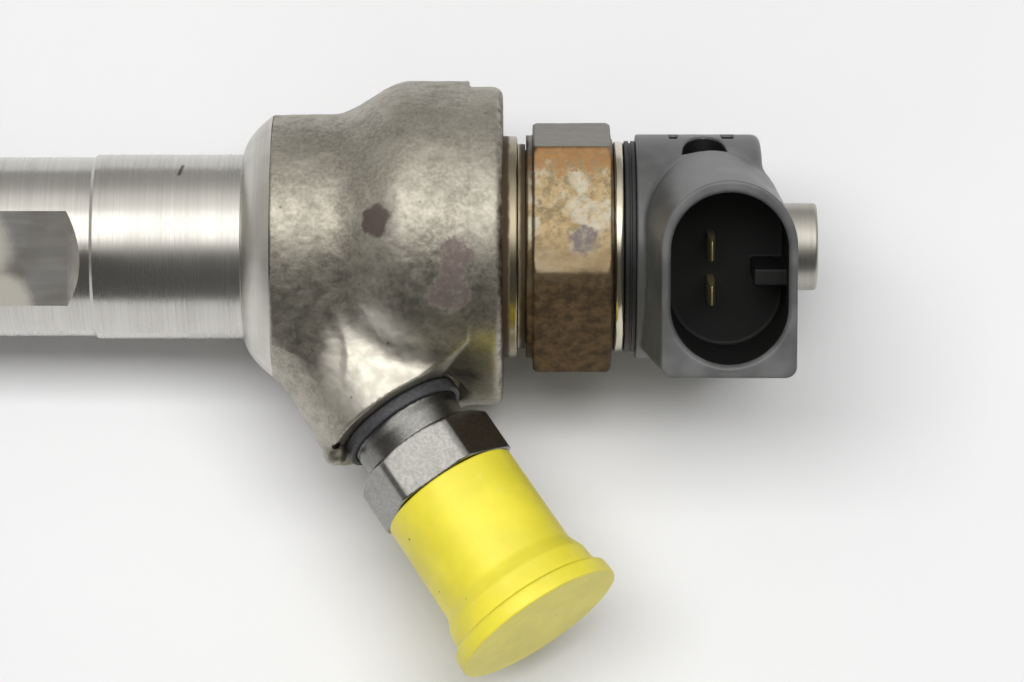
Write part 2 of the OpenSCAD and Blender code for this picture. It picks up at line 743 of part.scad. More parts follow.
// Outline of the connector: a round top, and a flat foot with small corners.
module plug_outline(w, h) {
    union() {
        translate([0, h / 2 - w / 2]) circle(d = w);
        translate([-w / 2, -h / 2 + plug_corner]) square([w, h - w / 2 - plug_corner]);
        translate([-w / 2 + plug_corner, -h / 2]) square([w - 2 * plug_corner, h / 2]);
        for (side = [-1, 1]) translate([side * (w / 2 - plug_corner), -h / 2 + plug_corner])
            circle(r = plug_corner);
    }
}

module plug_cavity_outline() {
    for (side = [-1, 1]) translate([0, side * (cavity_h - cavity_w) / 2]) circle(d = cavity_w);
    square([cavity_w, cavity_h - cavity_w], center = true);
}

module plug_tower() {
    hull() {
        translate([plug_x, 0, plug_mouth - 1]) linear_extrude(1) plug_outline(plug_w, plug_h, $fn = 32);
        translate([plug_x - 0.2, 0, plug_root]) linear_extrude(1)
            plug_outline(plug_w + 2 * plug_flare, plug_h + plug_flare, $fn = 32);
    }
}

module terminal_shape(clear) {
    for (side = [-1, 1]) turned(head_turn) translate([0, side * pin_pitch / 2, 0]) {
        translate([x_magnet + slot_depth, 0, lead_offset]) rotate([0, 90, 0])
            cylinder(r = lead_r + clear, h = pin_x - x_magnet - slot_depth);
        translate([pin_x, 0, 0]) linear_extrude(plug_floor + pin_rise + clear)
            square([pin_t + 2 * clear, pin_w + 2 * clear], center = true);
    }
}

module terminal_pins() {
    color([0.80, 0.66, 0.32]) difference() {
        terminal_shape(0);
        // nothing of a blade below its foot, where the return stub passes
        turned(head_turn) translate([pin_x - 2, -pin_pitch, -1]) cube([4, 2 * pin_pitch, pin_foot + 1]);
    }
}

module connector_housing() {
    pocket_r = 2.6;
    edge = 0.8;
    color([0.10, 0.10, 0.10]) difference() {
        union() {
            lathe(concat([[0, x_sleeve_top + 0.02], [spigot_r - 0.85, x_sleeve_top + 0.02],
                [spigot_r - 0.85, x_head], [head_r, x_head]],
                [for (a = [0:30:90]) [head_r - edge * (1 - cos(a)), x_head_end - edge * (1 - sin(a))]],
                [[0, x_head_end]]));
            turned(head_turn) plug_tower();
        }
        rod(stub_shank_r + seat_gap, x_sleeve_top - eps, x_stub_end);
        terminal_shape(0.02);
        turned(head_turn) {
            difference() {
                translate([plug_x, 0, plug_floor]) linear_extrude(plug_rise + 1) plug_cavity_outline();
                // key on the wall away from the nozzle
                translate([plug_x + cavity_w / 2 - key_reach, -key_w / 2, plug_floor - 1])
                    cube([key_reach + 1, key_w, plug_mouth - key_drop - plug_floor + 1]);
            }
            // half-moon pocket beside the connector
            turned(-73) intersection() {
                translate([plug_x - 2, 0, head_r - 1.6]) cylinder(r = pocket_r, h = 4);
                translate([plug_x - 6, -0.6, head_r - 2]) cube([8, 4, 4]);
            }
        }
    }
}

module drain_stub() {
    color([0.60, 0.60, 0.58]) difference() {
        lathe([[0, x_stub_foot], [stub_flange_r, x_stub_foot],
            [stub_flange_r, x_stub_foot + stub_flange_t], [stub_shank_r, x_stub_foot + stub_flange_t],
            [stub_shank_r, x_head_end + 0.1], [stub_r, x_head_end + 0.1],
            [stub_r, x_stub_end - 0.4], [stub_r - 0.4, x_stub_end], [0, x_stub_end]]);
        rod(stub_neck_r, x_stub_foot - eps, x_stub_end);
        rod(stub_bore_r, x_stub_end - stub_port_len, x_stub_end + eps);
    }
}

// ---- high-pressure inlet

module inlet_fitting() {
    corner_r = inlet_hex_af / 2 / cos(30);
    trim_r = corner_r - 0.25;
    foot = inlet_socket_floor + 0.05;
    color([0.27, 0.27, 0.28]) on_inlet() difference() {
        union() {
            rotate_extrude() polygon([[0, foot], [inlet_socket_r - 0.6, foot],
                [inlet_socket_r, foot + 0.6], [inlet_socket_r, t_seal + 0.05],
                [inlet_seal_r - 0.7, t_seal + inlet_seal_t], [inlet_neck_r, t_seal + inlet_seal_t],
                [inlet_neck_r, t_hex - 2.2], [inlet_neck_r - 0.4, t_hex - 0.2],
                [inlet_neck_r - 0.4, t_hex + 0.2], [0, t_hex + 0.2]]);
            intersection() {
                translate([0, 0, t_hex]) rotate([0, 0, inlet_hex_turn])
                    cylinder(r = corner_r, h = inlet_hex_len, $fn = 6);
                rotate_extrude() polygon([[0, t_hex], [trim_r - 0.9, t_hex], [trim_r, t_hex + 0.6],
                    [trim_r, t_thread], [0, t_thread]]);
            }
            rotate_extrude() polygon([[0, t_thread - 0.5], [inlet_thread_r, t_thread - 0.5],
                [inlet_thread_r, t_inlet_end - 1], [inlet_thread_r - 1, t_inlet_end], [0, t_inlet_end]]);
        }
        translate([0, 0, foot - eps]) cylinder(r = inlet_bore_r, h = t_inlet_end);
        // cone that the pressure pipe's ball end seals in
        translate([0, 0, t_inlet_end - 4.5]) cylinder(r1 = inlet_bore_r, r2 = 4.6, h = 4.5 + eps);
    }
}

module inlet_seal_ring() {
    color([0.05, 0.05, 0.05]) on_inlet() rotate_extrude()
        polygon([[inlet_socket_r + 0.03, t_seal + 0.02], [inlet_seal_r, t_seal + 0.02],
            [inlet_seal_r, t_seal + inlet_seal_t - 0.3], [inlet_seal_r - 0.3, t_seal + inlet_seal_t],
            [inlet_seal_r - 0.68, t_seal + inlet_seal_t], [inlet_socket_r + 0.03, t_seal + 0.08]]);
}

module edge_filter() {
    from = inlet_socket_floor + 3;
    color([0.66, 0.66, 0.64]) on_inlet() difference() {
        rotate_extrude() polygon([[0, from], [inlet_bore_r - 0.6, from], [inlet_bore_r - 0.02, from + 1],
            [inlet_bore_r - 0.02, from + filter_len - 1], [inlet_bore_r - 0.6, from + filter_len],
            [0, from + filter_len]]);
        // filter edges: blind flutes, alternately open towards each end
        for (i = [0:5]) rotate([0, 0, 60 * i])
            translate([inlet_bore_r, 0, from + (i % 2 == 0 ? -1 : 3)]) cylinder(r = 0.35, h = filter_len - 2);
    }
}

module transport_cap() {
    flange_r = cap_flange_d / 2;
    bead_r = (cap_r + flange_r) / 2;
    color([0.93, 0.87, 0.24]) on_inlet() difference() {
        rotate_extrude() polygon([[0, t_cap], [cap_r - 0.2, t_cap], [cap_r, t_cap + 0.3],
            [cap_r + 0.15, t_cap_end - cap_flange_t - cap_bead_t],
            [bead_r, t_cap_end - cap_flange_t - cap_bead_t + 0.8],
            [bead_r, t_cap_end - cap_flange_t], [flange_r, t_cap_end - cap_flange_t],
            [flange_r, t_cap_end - 0.2], [flange_r - 0.2, t_cap_end], [0, t_cap_end]]);
        translate([0, 0, t_cap - eps]) cylinder(r = cap_bore_r, h = t_cap_end - cap_floor - t_cap + eps);
    }
}

injector_body();
nozzle_body();
nozzle_needle();
nozzle_retaining_nut();
combustion_washer();
dowel_pins();
pressure_pin();
nozzle_spring();
opening_shim();
control_piston();
valve_piece();
valve_piece_seal_ring();
valve_clamp_screw();
valve_ball();
ball_holder();
armature_bolt();
armature_guide();
lift_shim();
overtravel_spring();
armature_plate();
retaining_washer();
air_gap_shim();
valve_spring();
spring_force_shim();
magnet_core();
coil_bobbin();
coil();
magnet_sleeve();
solenoid_nut();
solenoid_o_ring();
head_seal_ring();
connector_housing();
terminal_pins();
drain_stub();
inlet_fitting();
inlet_seal_ring();
edge_filter();
transport_cap();
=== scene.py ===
"""Diesel fuel injector: the pieces that show, their finishes, and a plain studio around them."""
import itertools
import json
import math

import bmesh
import bpy
import numpy as np
from bpy.props import FloatProperty, FloatVectorProperty, PointerProperty
from mathutils import Matrix, Vector


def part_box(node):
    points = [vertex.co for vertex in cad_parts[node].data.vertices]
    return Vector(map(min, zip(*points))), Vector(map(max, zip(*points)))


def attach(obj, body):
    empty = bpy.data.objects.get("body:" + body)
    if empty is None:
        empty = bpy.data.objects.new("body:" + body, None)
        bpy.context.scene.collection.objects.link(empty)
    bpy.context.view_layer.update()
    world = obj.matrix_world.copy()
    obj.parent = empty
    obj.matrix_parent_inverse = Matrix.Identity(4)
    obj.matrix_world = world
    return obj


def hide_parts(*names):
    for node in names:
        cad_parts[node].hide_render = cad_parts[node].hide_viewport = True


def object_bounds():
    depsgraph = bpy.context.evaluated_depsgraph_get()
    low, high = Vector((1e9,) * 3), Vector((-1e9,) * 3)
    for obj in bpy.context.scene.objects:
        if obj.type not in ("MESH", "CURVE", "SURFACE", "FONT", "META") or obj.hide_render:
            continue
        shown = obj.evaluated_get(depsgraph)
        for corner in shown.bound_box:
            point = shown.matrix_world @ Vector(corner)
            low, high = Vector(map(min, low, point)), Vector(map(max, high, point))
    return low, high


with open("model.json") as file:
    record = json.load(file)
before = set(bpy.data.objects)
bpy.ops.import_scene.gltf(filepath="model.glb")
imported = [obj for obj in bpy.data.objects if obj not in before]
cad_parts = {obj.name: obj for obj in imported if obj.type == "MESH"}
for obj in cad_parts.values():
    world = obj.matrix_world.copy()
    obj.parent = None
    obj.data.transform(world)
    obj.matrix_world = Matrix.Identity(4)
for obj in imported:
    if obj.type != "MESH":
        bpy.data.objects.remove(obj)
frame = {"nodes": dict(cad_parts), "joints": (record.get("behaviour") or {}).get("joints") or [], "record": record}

CAD_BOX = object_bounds()

bl_info = {
    "name": "Diesel injector",
    "version": (1, 0, 0),
    "blender": (4, 5, 0),
    "location": "View3D > Sidebar > Injector",
    "description": "Makes the visible pieces of a diesel injector around its packed frame",
    "category": "Add Mesh",
}

MM = 0.001
TAU = 2 * math.pi


# ---- stations and radii in millimetres, read from the frame

def span(node):
    """Start and end of a node along the injector's axis, in millimetres."""
    low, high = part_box(node)
    return low.x / MM, high.x / MM


def radius(node):
    """Largest radius about the injector's axis of a node that is round, in millimetres."""
    low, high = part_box(node)
    return (high.z - low.z) / 2 / MM


X_FACE, X_SPIGOT = span("injector_body")
X_WASHER = span("combustion_washer")[1]
X_NOZZLE_TIP = span("nozzle_body")[0]
X_NUT_TOP = span("nozzle_retaining_nut")[1]
X_MAGNET = span("magnet_core")[0]
X_SLEEVE_TOP = span("magnet_sleeve")[1]
X_LEDGE = span("lift_shim")[0]
X_VALVE_TOP = span("valve_clamp_screw")[0]
X_GALLERY = span("valve_piece_seal_ring")[0]
X_SPRING_TOP = span("opening_shim")[1]
X_STUB = span("drain_stub")
X_HEX_NUT = span("solenoid_nut")
BARREL_R = radius("injector_body")
CAVITY_R = radius("lift_shim") + 0.05
SPIGOT_R = radius("magnet_sleeve") - 1.0
STUB_R = 4.97
HEAD_R = 12.8
SPRING_BORE_R = 3.5
PISTON_BORE_R = 2.3
VALVE_BORE_R = 4.4
CLAMP_SCREW_R = 6.5
CLAMP_SCREW_LEN = 4


# ---- what a user would change

def length(name, about, value):
    return FloatProperty(name=name, description=about, default=value * MM, unit="LENGTH", precision=5)


def colour(name, about, value):
    return FloatVectorProperty(
        name=name, description=about, default=value, size=3, min=0.0, max=1.0, subtype="COLOR")


class InjectorSizes(bpy.types.PropertyGroup):
    """Sizes of the visible pieces."""
    lower_shaft: length("Lower shaft", "Radius of the shaft with the clamp flats", 10.2)
    upper_shaft: length("Upper shaft", "Radius of the ground shaft", 10.5)
    shaft_step: length("Shaft step", "Where the ground shaft starts", 77.5)
    collar: length("Collar", "Where the rounded collar starts", 94.5)
    forging: length("Forging", "Where the forged barrel starts", 97.9)
    forging_radius: length("Forging radius", "Radius of the barrel next to the collar", 15.1)
    rim: length("Rim", "Where the machined rim starts", 120.2)
    neck: length("Neck", "Where the neck starts", 124.0)
    nut_seat: length("Nut seat", "Where the neck ends", 126.5)
    neck_radius: length("Neck radius", "Radius of the neck below the solenoid nut", 12.6)
    flat_depth: length("Flat depth", "Depth of each clamp flat", 1.55)
    flat_start: length("Flat start", "Where the clamp flats start", 53.0)
    flat_end: length("Flat end", "Where the clamp flats start to run out", 74.9)
    grain: length("Forging grain", "Height of the shot-blasted grain", 0.035)
    boss_radius: length("Boss radius", "Radius of the inlet boss at its face", 9.3)
    boss_web: length("Boss web", "Where the web between the boss and the rim starts", 107.0)
    boss_reach: length("Boss reach", "Distance from the axis to the boss face", 24.5)
    boss_blend: length("Boss blend", "Size of the fillet between barrel and boss", 2.0)
    thread_radius: length("Inlet thread", "Major radius of the inlet thread", 7.0)
    thread_pitch: length("Thread pitch", "Pitch of the inlet thread", 1.5)
    plug_lip: length("Connector lip", "Rounding of the connector's rim", 0.3)


class InjectorColours(bpy.types.PropertyGroup):
    """Base colours of the finishes."""
    steel: colour("Ground steel", "Ground shaft, pins and shims", (0.60, 0.585, 0.55))
    forging: colour("Forging", "Shot-blasted forging", (0.35, 0.327, 0.276))
    oxide: colour("Oxide", "Purple-brown oxide spots on the forging", (0.060, 0.040, 0.036))
    zinc: colour("Zinc", "Satin finish of the inlet fitting", (0.30, 0.297, 0.28))
    nut: colour("Solenoid nut", "Tan heat tint of the solenoid nut", (0.29, 0.222, 0.125))
    rust: colour("Rust", "Rust on the solenoid nut", (0.075, 0.046, 0.021))
    plastic: colour("Plastic", "Plastic head and connector", (0.098, 0.100, 0.098))
    rubber: colour("Rubber", "Seal rings", (0.012, 0.012, 0.013))
    gold: colour("Gold", "Terminal blades", (0.85, 0.62, 0.27))
    cap: colour("Cap", "Transport cap", (0.86, 0.75, 0.055))
    copper: colour("Copper", "Sealing washer and coil", (0.60, 0.29, 0.16))
    floor: colour("Floor", "Studio floor", (0.82, 0.82, 0.825))


# ---- places: the frame of the inlet and the frame of the connector

def mount_place(name):
    """Place of a mount in millimetres, and the way it faces."""
    mount = next(m for m in frame["record"]["mounts"] if m["name"] == name)
    return Vector(mount["pos_m"]) / MM, Vector(mount["axis"]).normalized()


def inlet_frame():
    """Matrix from the inlet's frame, Z out along it from the injector's axis, to the row frame, in mm."""
    out = Vector(next(j for j in frame["joints"] if j["name"] == "cap_pull")["axis"]).normalized()
    mouth = mount_place("pressure_inlet")[0]
    foot = mouth - out * (mouth.y / out.y)
    side = Vector((0, 0, 1)).cross(out) * -1
    turn = Matrix((side, Vector((0, 0, 1)), out)).transposed().to_4x4()
    if turn.to_3x3().determinant() < 0:
        turn = Matrix((-side, Vector((0, 0, 1)), out)).transposed().to_4x4()
    return Matrix.Translation(foot) @ turn


def connector_frame():
    """Matrix from the connector's frame, X along the axis and Z out through its mouth, to the row frame."""
    out = mount_place("electrical_connector")[1]
    return Matrix((Vector((1, 0, 0)), out.cross(Vector((1, 0, 0))), out)).transposed().to_4x4()


INLET = inlet_frame()
CONNECTOR = connector_frame()
INLET_MOUTH = (INLET.inverted() @ mount_place("pressure_inlet")[0]).z
PLUG_MOUNT = mount_place("electrical_connector")[0]
PLUG_X = PLUG_MOUNT.x
PLUG_MOUTH = (CONNECTOR.inverted() @ PLUG_MOUNT).z


def into(matrix, points):
    """Points of the row frame in the frame that matrix leads out of."""
    back = np.array(matrix.inverted(), np.float32)
    return points @ back[:3, :3].T + back[:3, 3]


# ---- fields: signed distances in millimetres, negative inside

def soft_union(a, b, size):
    h = np.clip(0.5 + 0.5 * (b - a) / size, 0, 1)
    return b + (a - b) * h - size * h * (1 - h)


def soft_cut(a, b, size):
    """What is in a and not in b, with a rounded edge."""
    return -soft_union(-a, b, size)


def soft_both(a, b, size):
    return -soft_union(-a, -b, size)


def rod_field(x, r, low, high, rod_r):
    return np.maximum(r - rod_r, np.maximum(low - x, x - high))


def rounded_box(u, v, half_u, half_v, corner):
    """Distance to a box with rounded corners; corner may differ between v > 0 and v < 0."""
    qu = np.abs(u) - half_u + corner
    qv = np.abs(v) - half_v + corner
    return np.minimum(np.maximum(qu, qv), 0) + np.hypot(np.maximum(qu, 0), np.maximum(qv, 0)) - corner


def hexagon(u, v, flat, turn=0.0):
    """Distance to a hexagon whose flats stand at flat; one of them faces turn."""
    angles = [turn + k * math.pi / 3 for k in range(3)]
    return np.maximum.reduce([np.abs(u * math.cos(a) + v * math.sin(a)) for a in angles]) - flat


def lumps(points, size, seed):
    """Smooth noise, -1 to 1, with lumps of about that size in millimetres."""
    table = np.random.default_rng(seed).uniform(-1, 1, (32, 32, 32)).astype(np.float32)
    q = points / size
    base = np.floor(q).astype(np.int32)
    part = q - base
    part = part * part * (3 - 2 * part)
    total = np.zeros(len(points), np.float32)
    for corner in itertools.product((0, 1), repeat=3):
        weight = np.prod(np.where(corner, part, 1 - part), axis=1)
        total += weight * table[tuple(((base + corner) % 32).T)]
    return total


def slope(field, points, reach=0.02):
    steps = np.eye(3, dtype=np.float32) * reach
    return np.stack([(field(points + s) - field(points - s)) / (2 * reach) for s in steps], 1)


def skin(name, field, low, high, step, grain=None):
    """Closed mesh over the zero of a field of row-frame points. Its points and step are in millimetres."""
    axes = [np.arange(a, b + step, step, dtype=np.float32) for a, b in zip(low, high)]
    shape = tuple(len(a) for a in axes)
    d = np.empty(shape, np.float32)
    plane = np.stack(np.meshgrid(axes[1], axes[2], indexing="ij"), -1).reshape(-1, 2)
    slab = max(1, 400_000 // len(plane))
    for i in range(0, shape[0], slab):
        xs = axes[0][i:i + slab]
        points = np.concatenate([np.repeat(xs, len(plane))[:, None], np.tile(plane, (len(xs), 1))], 1)
        d[i:i + slab] = field(points).reshape(len(xs), shape[1], shape[2])
    inside = d < 0
    cells = np.array(shape) - 1
    corners = list(itertools.product((0, 1), repeat=3))
    count = sum(inside[a:cells[0] + a, b:cells[1] + b, c:cells[2] + c].astype(np.int8)
                for a, b, c in corners)
    cell = np.argwhere((count > 0) & (count < 8))
    index = np.full(tuple(cells), -1, np.int32)
    index[tuple(cell.T)] = np.arange(len(cell))
    place = np.zeros((len(cell), 3))
    hits = np.zeros(len(cell))
    for a, b in itertools.combinations(np.array(corners), 2):
        if np.abs(a - b).sum() != 1:
            continue
        da, db = d[tuple((cell + a).T)], d[tuple((cell + b).T)]
        cross = (da < 0) != (db < 0)
        share = np.where(cross, da / np.where(cross, da - db, 1), 0)
        place += cross[:, None] * (a + share[:, None] * (b - a))
        hits += cross
    points = ((cell + place / hits[:, None]) * step + np.array(low)).astype(np.float32)
    quads = []
    for axis in range(3):
        u, v = (axis + 1) % 3, (axis + 2) % 3
        lower = np.take(inside, range(shape[axis] - 1), axis)
        upper = np.take(inside, range(1, shape[axis]), axis)
        edge = np.argwhere(lower != upper)
        edge = edge[(edge[:, u] > 0) & (edge[:, u] < cells[u]) & (edge[:, v] > 0) & (edge[:, v] < cells[v])]
        rising = lower[tuple(edge.T)]
        around = []
        for du, dv in ((-1, -1), (0, -1), (0, 0), (-1, 0)):
            near = edge.copy()
            near[:, u] += du
            near[:, v] += dv
            around.append(index[tuple(near.T)])
        quad = np.stack(around, 1)
        quads.append(np.where(rising[:, None], quad, quad[:, ::-1]))
    for _ in range(3):
        lean = slope(field, points)
        size = np.maximum((lean ** 2).sum(1), 0.05)
        points = points - lean * np.clip(field(points) / size, -step, step)[:, None]
    if grain is not None:
        lean = slope(field, points)
        lean /= np.maximum(np.linalg.norm(lean, axis=1), 1e-6)[:, None]
        points = points + lean * grain(points)[:, None]
    return mesh_object(name, points * MM, np.concatenate(quads))


# ---- meshes

def mesh_object(name, points, faces):
    mesh = bpy.data.meshes.new(name)
    mesh.from_pydata([tuple(p) for p in np.asarray(points, float).tolist()], [],
                     [tuple(f) for f in (faces.tolist() if hasattr(faces, "tolist") else faces)])
    mesh.validate()
    mesh.polygons.foreach_set("use_smooth", [True] * len(mesh.polygons))
    mesh.update()
    piece = bpy.data.objects.new(name, mesh)
    bpy.context.scene.collection.objects.link(piece)
    return piece


def rounded(outline, steps=4):
    """Closed outline of (along, radius, rounding) points, with each corner made an arc."""
    result = []
    count = len(outline)
    for i, point in enumerate(outline):
        here = Vector(point[:2])
        round_r = point[2] if len(point) > 2 else 0.0
        to_last = Vector(outline[i - 1][:2]) - here
        to_next = Vector(outline[(i + 1) % count][:2]) - here
        if not round_r or not to_last.length or not to_next.length:
            result.append(tuple(here))
            continue
        half = to_last.angle(to_next) / 2
        reach = min(round_r / math.tan(half), to_last.length * 0.49, to_next.length * 0.49)
        start, end = here + to_last.normalized() * reach, here + to_next.normalized() * reach
        for k in range(steps + 1):
            s = k / steps
            result.append(tuple((1 - s) ** 2 * start + 2 * s * (1 - s) * here + s * s * end))
    return result


def lathe(name, outline, segments=160, matrix=None, steps=4):
    """Solid turned from a closed outline of (along, radius) points, about X or about matrix's own Z."""
    outline = rounded(outline, steps)
    rings, points, faces = [], [], []
    for along, r in outline:
        if r < 1e-6:
            rings.append([len(points)] * segments)
            points.append((along, 0.0, 0.0))
            continue
        rings.append(list(range(len(points), len(points) + segments)))
        points += [(along, r * math.cos(TAU * k / segments), r * math.sin(TAU * k / segments))
                   for k in range(segments)]
    for a, b in zip(rings, rings[1:] + rings[:1]):
        for k in range(segments):
            n = (k + 1) % segments
            face = list(dict.fromkeys((a[k], a[n], b[n], b[k])))
            if len(face) > 2:
                faces.append(face)
    if matrix is not None:
        points = [tuple(matrix @ Vector((y, z, x))) for x, y, z in points]
    piece = mesh_object(name, np.array(points) * MM, faces)
    face_outwards(piece)
    sharpen(piece)
    return piece


def face_outwards(piece):
    mesh = bmesh.new()
    mesh.from_mesh(piece.data)
    bmesh.ops.recalc_face_normals(mesh, faces=mesh.faces)
    mesh.to_mesh(piece.data)
    mesh.free()


def sharpen(piece, degrees=28):
    piece.data.set_sharp_from_angle(angle=math.radians(degrees))


def cut(piece, *tools):
    """Takes the tools away from a piece and removes them."""
    for tool in tools:
        step = piece.modifiers.new("cut", "BOOLEAN")
        step.object, step.operation, step.solver = tool, "DIFFERENCE", "EXACT"
        step.material_mode = "TRANSFER"
    apply_modifiers(piece)
    for tool in tools:
        bpy.data.objects.remove(tool)


def apply_modifiers(piece):
    bpy.context.view_layer.update()
    result = piece.evaluated_get(bpy.context.evaluated_depsgraph_get())
    mesh = bpy.data.meshes.new_from_object(result)
    piece.modifiers.clear()
    piece.data = mesh


def block(name, corners):
    """Solid with eight corners: four below, then the four above them. In millimetres."""
    faces = [(0, 1, 2, 3), (4, 5, 6, 7), (0, 1, 5, 4), (1, 2, 6, 5), (2, 3, 7, 6), (3, 0, 4, 7)]
    piece = mesh_object(name, np.array(corners) * MM, faces)
    face_outwards(piece)
    return piece


def join(name, *parts):
    """One object from several closed parts, each of which keeps its materials."""
    mesh = bmesh.new()
    materials = []
    for part in parts:
        first = len(mesh.faces)
        mesh.from_mesh(part.data)
        mesh.faces.ensure_lookup_table()
        base = len(materials)
        materials += list(part.data.materials)
        for face in mesh.faces[first:]:
            face.material_index += base
        bpy.data.objects.remove(part)
    data = bpy.data.meshes.new(name)
    mesh.to_mesh(data)
    mesh.free()
    for material in materials:
        data.materials.append(material)
    piece = bpy.data.objects.new(name, data)
    bpy.context.scene.collection.objects.link(piece)
    return piece


def paint(piece, material):
    piece.data.materials.clear()
    piece.data.materials.append(material)
    return piece


def stand_in(piece, node, body="injector"):
    """The piece stands for a CAD node, which it hides, and takes its body."""
    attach(piece, body)
    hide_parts(node)
    return piece


# ---- finishes

class Finish:
    """A node material built by short calls. Each call gives an output socket."""

    def __init__(self, name, base, rough, metal=0.0, **constant):
        self.material = bpy.data.materials.new(name)
        self.material.use_nodes = True
        self.tree = self.material.node_tree
        self.shader = next(n for n in self.tree.nodes if n.type == "BSDF_PRINCIPLED")
        self.shader.inputs["Base Color"].default_value = (*base, 1)
        self.shader.inputs["Roughness"].default_value = rough
        self.shader.inputs["Metallic"].default_value = metal
        for key, value in constant.items():
            self.shader.inputs[key.replace("_", " ")].default_value = value
        self.place = self.add("ShaderNodeTexCoord").outputs["Object"]

    def add(self, kind, **settings):
        node = self.tree.nodes.new(kind)
        for key, value in settings.items():
            setattr(node, key, value)
        return node

    def feed(self, socket, value):
        if isinstance(value, bpy.types.NodeSocket):
            self.tree.links.new(value, socket)
        elif socket.type == "RGBA" and len(value) == 3:
            socket.default_value = (*value, 1)
        else:
            socket.default_value = value

    def math(self, operation, a, b=0.0, c=0.0, clamp=False):
        node = self.add("ShaderNodeMath", operation=operation, use_clamp=clamp)
        for socket, value in zip(node.inputs, (a, b, c)):
            self.feed(socket, value)
        return node.outputs[0]

    def split(self, vector):
        node = self.add("ShaderNodeSeparateXYZ")
        self.feed(node.inputs[0], vector)
        return node.outputs

    def bundle(self, x, y, z):
        node = self.add("ShaderNodeCombineXYZ")
        for socket, value in zip(node.inputs, (x, y, z)):
            self.feed(socket, value)
        return node.outputs[0]

    def stretched(self, x, y, z):
        """Place in millimetres, stretched along each axis."""
        node = self.add("ShaderNodeVectorMath", operation="MULTIPLY")
        self.feed(node.inputs[0], self.place)
        node.inputs[1].default_value = (x / MM, y / MM, z / MM)
        return node.outputs[0]

    def around_axis(self, along, around):
        """Place as (X, angle about the injector's axis), in lines per millimetre and per turn."""
        x, y, z = self.split(self.place)
        angle = self.math("ARCTAN2", z, y)
        turned = self.math("MULTIPLY", angle, around / TAU)
        return self.bundle(self.math("MULTIPLY", x, along / MM), turned, 0.0)

    def noise(self, size=1.0, detail=3.0, rough=0.55, at=None):
        """Cloudy noise, 0 to 1, with lumps of about that size in millimetres."""
        node = self.add("ShaderNodeTexNoise")
        self.feed(node.inputs["Vector"], self.place if at is None else at)
        node.inputs["Scale"].default_value = 1 / (size * MM) if at is None else 1 / size
        node.inputs["Detail"].default_value = detail
        node.inputs["Roughness"].default_value = rough
        return node.outputs["Fac"]

    def specks(self, size=1.0, at=None):
        """Distance to scattered points about that far apart, 0 at a point."""
        node = self.add("ShaderNodeTexVoronoi")
        self.feed(node.inputs["Vector"], self.place if at is None else at)
        node.inputs["Scale"].default_value = 1 / (size * MM) if at is None else 1 / size
        return node.outputs["Distance"]

    def ramp(self, value, low, high, from_value=0.0, to_value=1.0):
        node = self.add("ShaderNodeMapRange", interpolation_type="SMOOTHSTEP")
        for socket, number in zip(node.inputs, (value, low, high, from_value, to_value)):
            self.feed(socket, number)
        return node.outputs[0]

    def near(self, point_mm, reach_mm, ragged=0.5, size=1.2):
        """1 at a point, 0 past its reach, with a ragged edge."""
        node = self.add("ShaderNodeVectorMath", operation="DISTANCE")
        self.feed(node.inputs[0], self.place)
        node.inputs[1].default_value = [v * MM for v in point_mm]
        wobble = self.math("MULTIPLY_ADD", self.noise(size, 2), 2 * ragged * MM, -ragged * MM)
        return self.ramp(self.math("ADD", node.outputs["Value"], wobble), reach_mm * 0.65 * MM,
                         reach_mm * MM, 1.0, 0.0)

    def mix(self, share, a, b):
        node = self.add("ShaderNodeMix", data_type="RGBA")
        colours = [s for s in node.inputs if s.type == "RGBA"]
        self.feed(node.inputs[0], share)
        self.feed(colours[0], a)
        self.feed(colours[1], b)
        return next(s for s in node.outputs if s.type == "RGBA")

    def blend(self, share, a, b):
        """Number between a and b."""
        node = self.add("ShaderNodeMix", data_type="FLOAT")
        self.feed(node.inputs[0], share)
        self.feed(node.inputs[2], a)
        self.feed(node.inputs[3], b)
        return node.outputs[0]

    def colour(self, value):
        self.feed(self.shader.inputs["Base Color"], value)

    def last_colour(self):
        """What feeds the base colour so far."""
        return self.shader.inputs["Base Color"].links[0].from_socket

    def rough(self, value):
        self.feed(self.shader.inputs["Roughness"], value)

    def metal(self, value):
        self.feed(self.shader.inputs["Metallic"], value)

    def bump(self, height, depth_mm, strength=1.0):
        node = self.add("ShaderNodeBump")
        node.inputs["Strength"].default_value = strength
        node.inputs["Distance"].default_value = depth_mm * MM
        self.feed(node.inputs["Height"], height)
        if self.shader.inputs["Normal"].is_linked:
            last = self.shader.inputs["Normal"].links[0].from_socket
            self.feed(node.inputs["Normal"], last)
        self.feed(self.shader.inputs["Normal"], node.outputs[0])


def tint(base, factor):
    return tuple(min(1.0, c * factor) for c in base)


def colours():
    return bpy.context.scene.injector_colours


def sizes():
    """The sizes in millimetres, by name."""
    group = bpy.context.scene.injector_sizes
    return {k: getattr(group, k) / MM for k in InjectorSizes.__annotations__}


def turned_steel(name, base, rough=0.27, lines=3.0, contrast=0.12, grime_and_shade=0.25):
    """Steel with fine lines round the injector's axis, as grinding or turning leaves."""
    f = Finish(name, base, rough, 1.0, Anisotropic=0.5)
    fine = f.noise(1.0, 3.0, 0.6, f.around_axis(lines, 2.0))
    broad = f.noise(1.0, 2.0, 0.5, f.around_axis(lines / 6, 1.5))
    line = f.blend(0.4, fine, broad)
    cloud = f.noise(7.0, 4.0)
    shade = f.mix(f.ramp(line, 0.3, 0.7), tint(base, 1 - contrast), tint(base, 1 + contrast * 0.4))
    f.colour(f.mix(f.ramp(cloud, 0.45, 0.8, 0.0, grime_and_shade), shade, (0.20, 0.17, 0.13)))
    f.rough(f.blend(f.ramp(line, 0.3, 0.7), rough + 0.03, rough - 0.02))
    f.bump(line, 0.0015, 0.4)
    return f


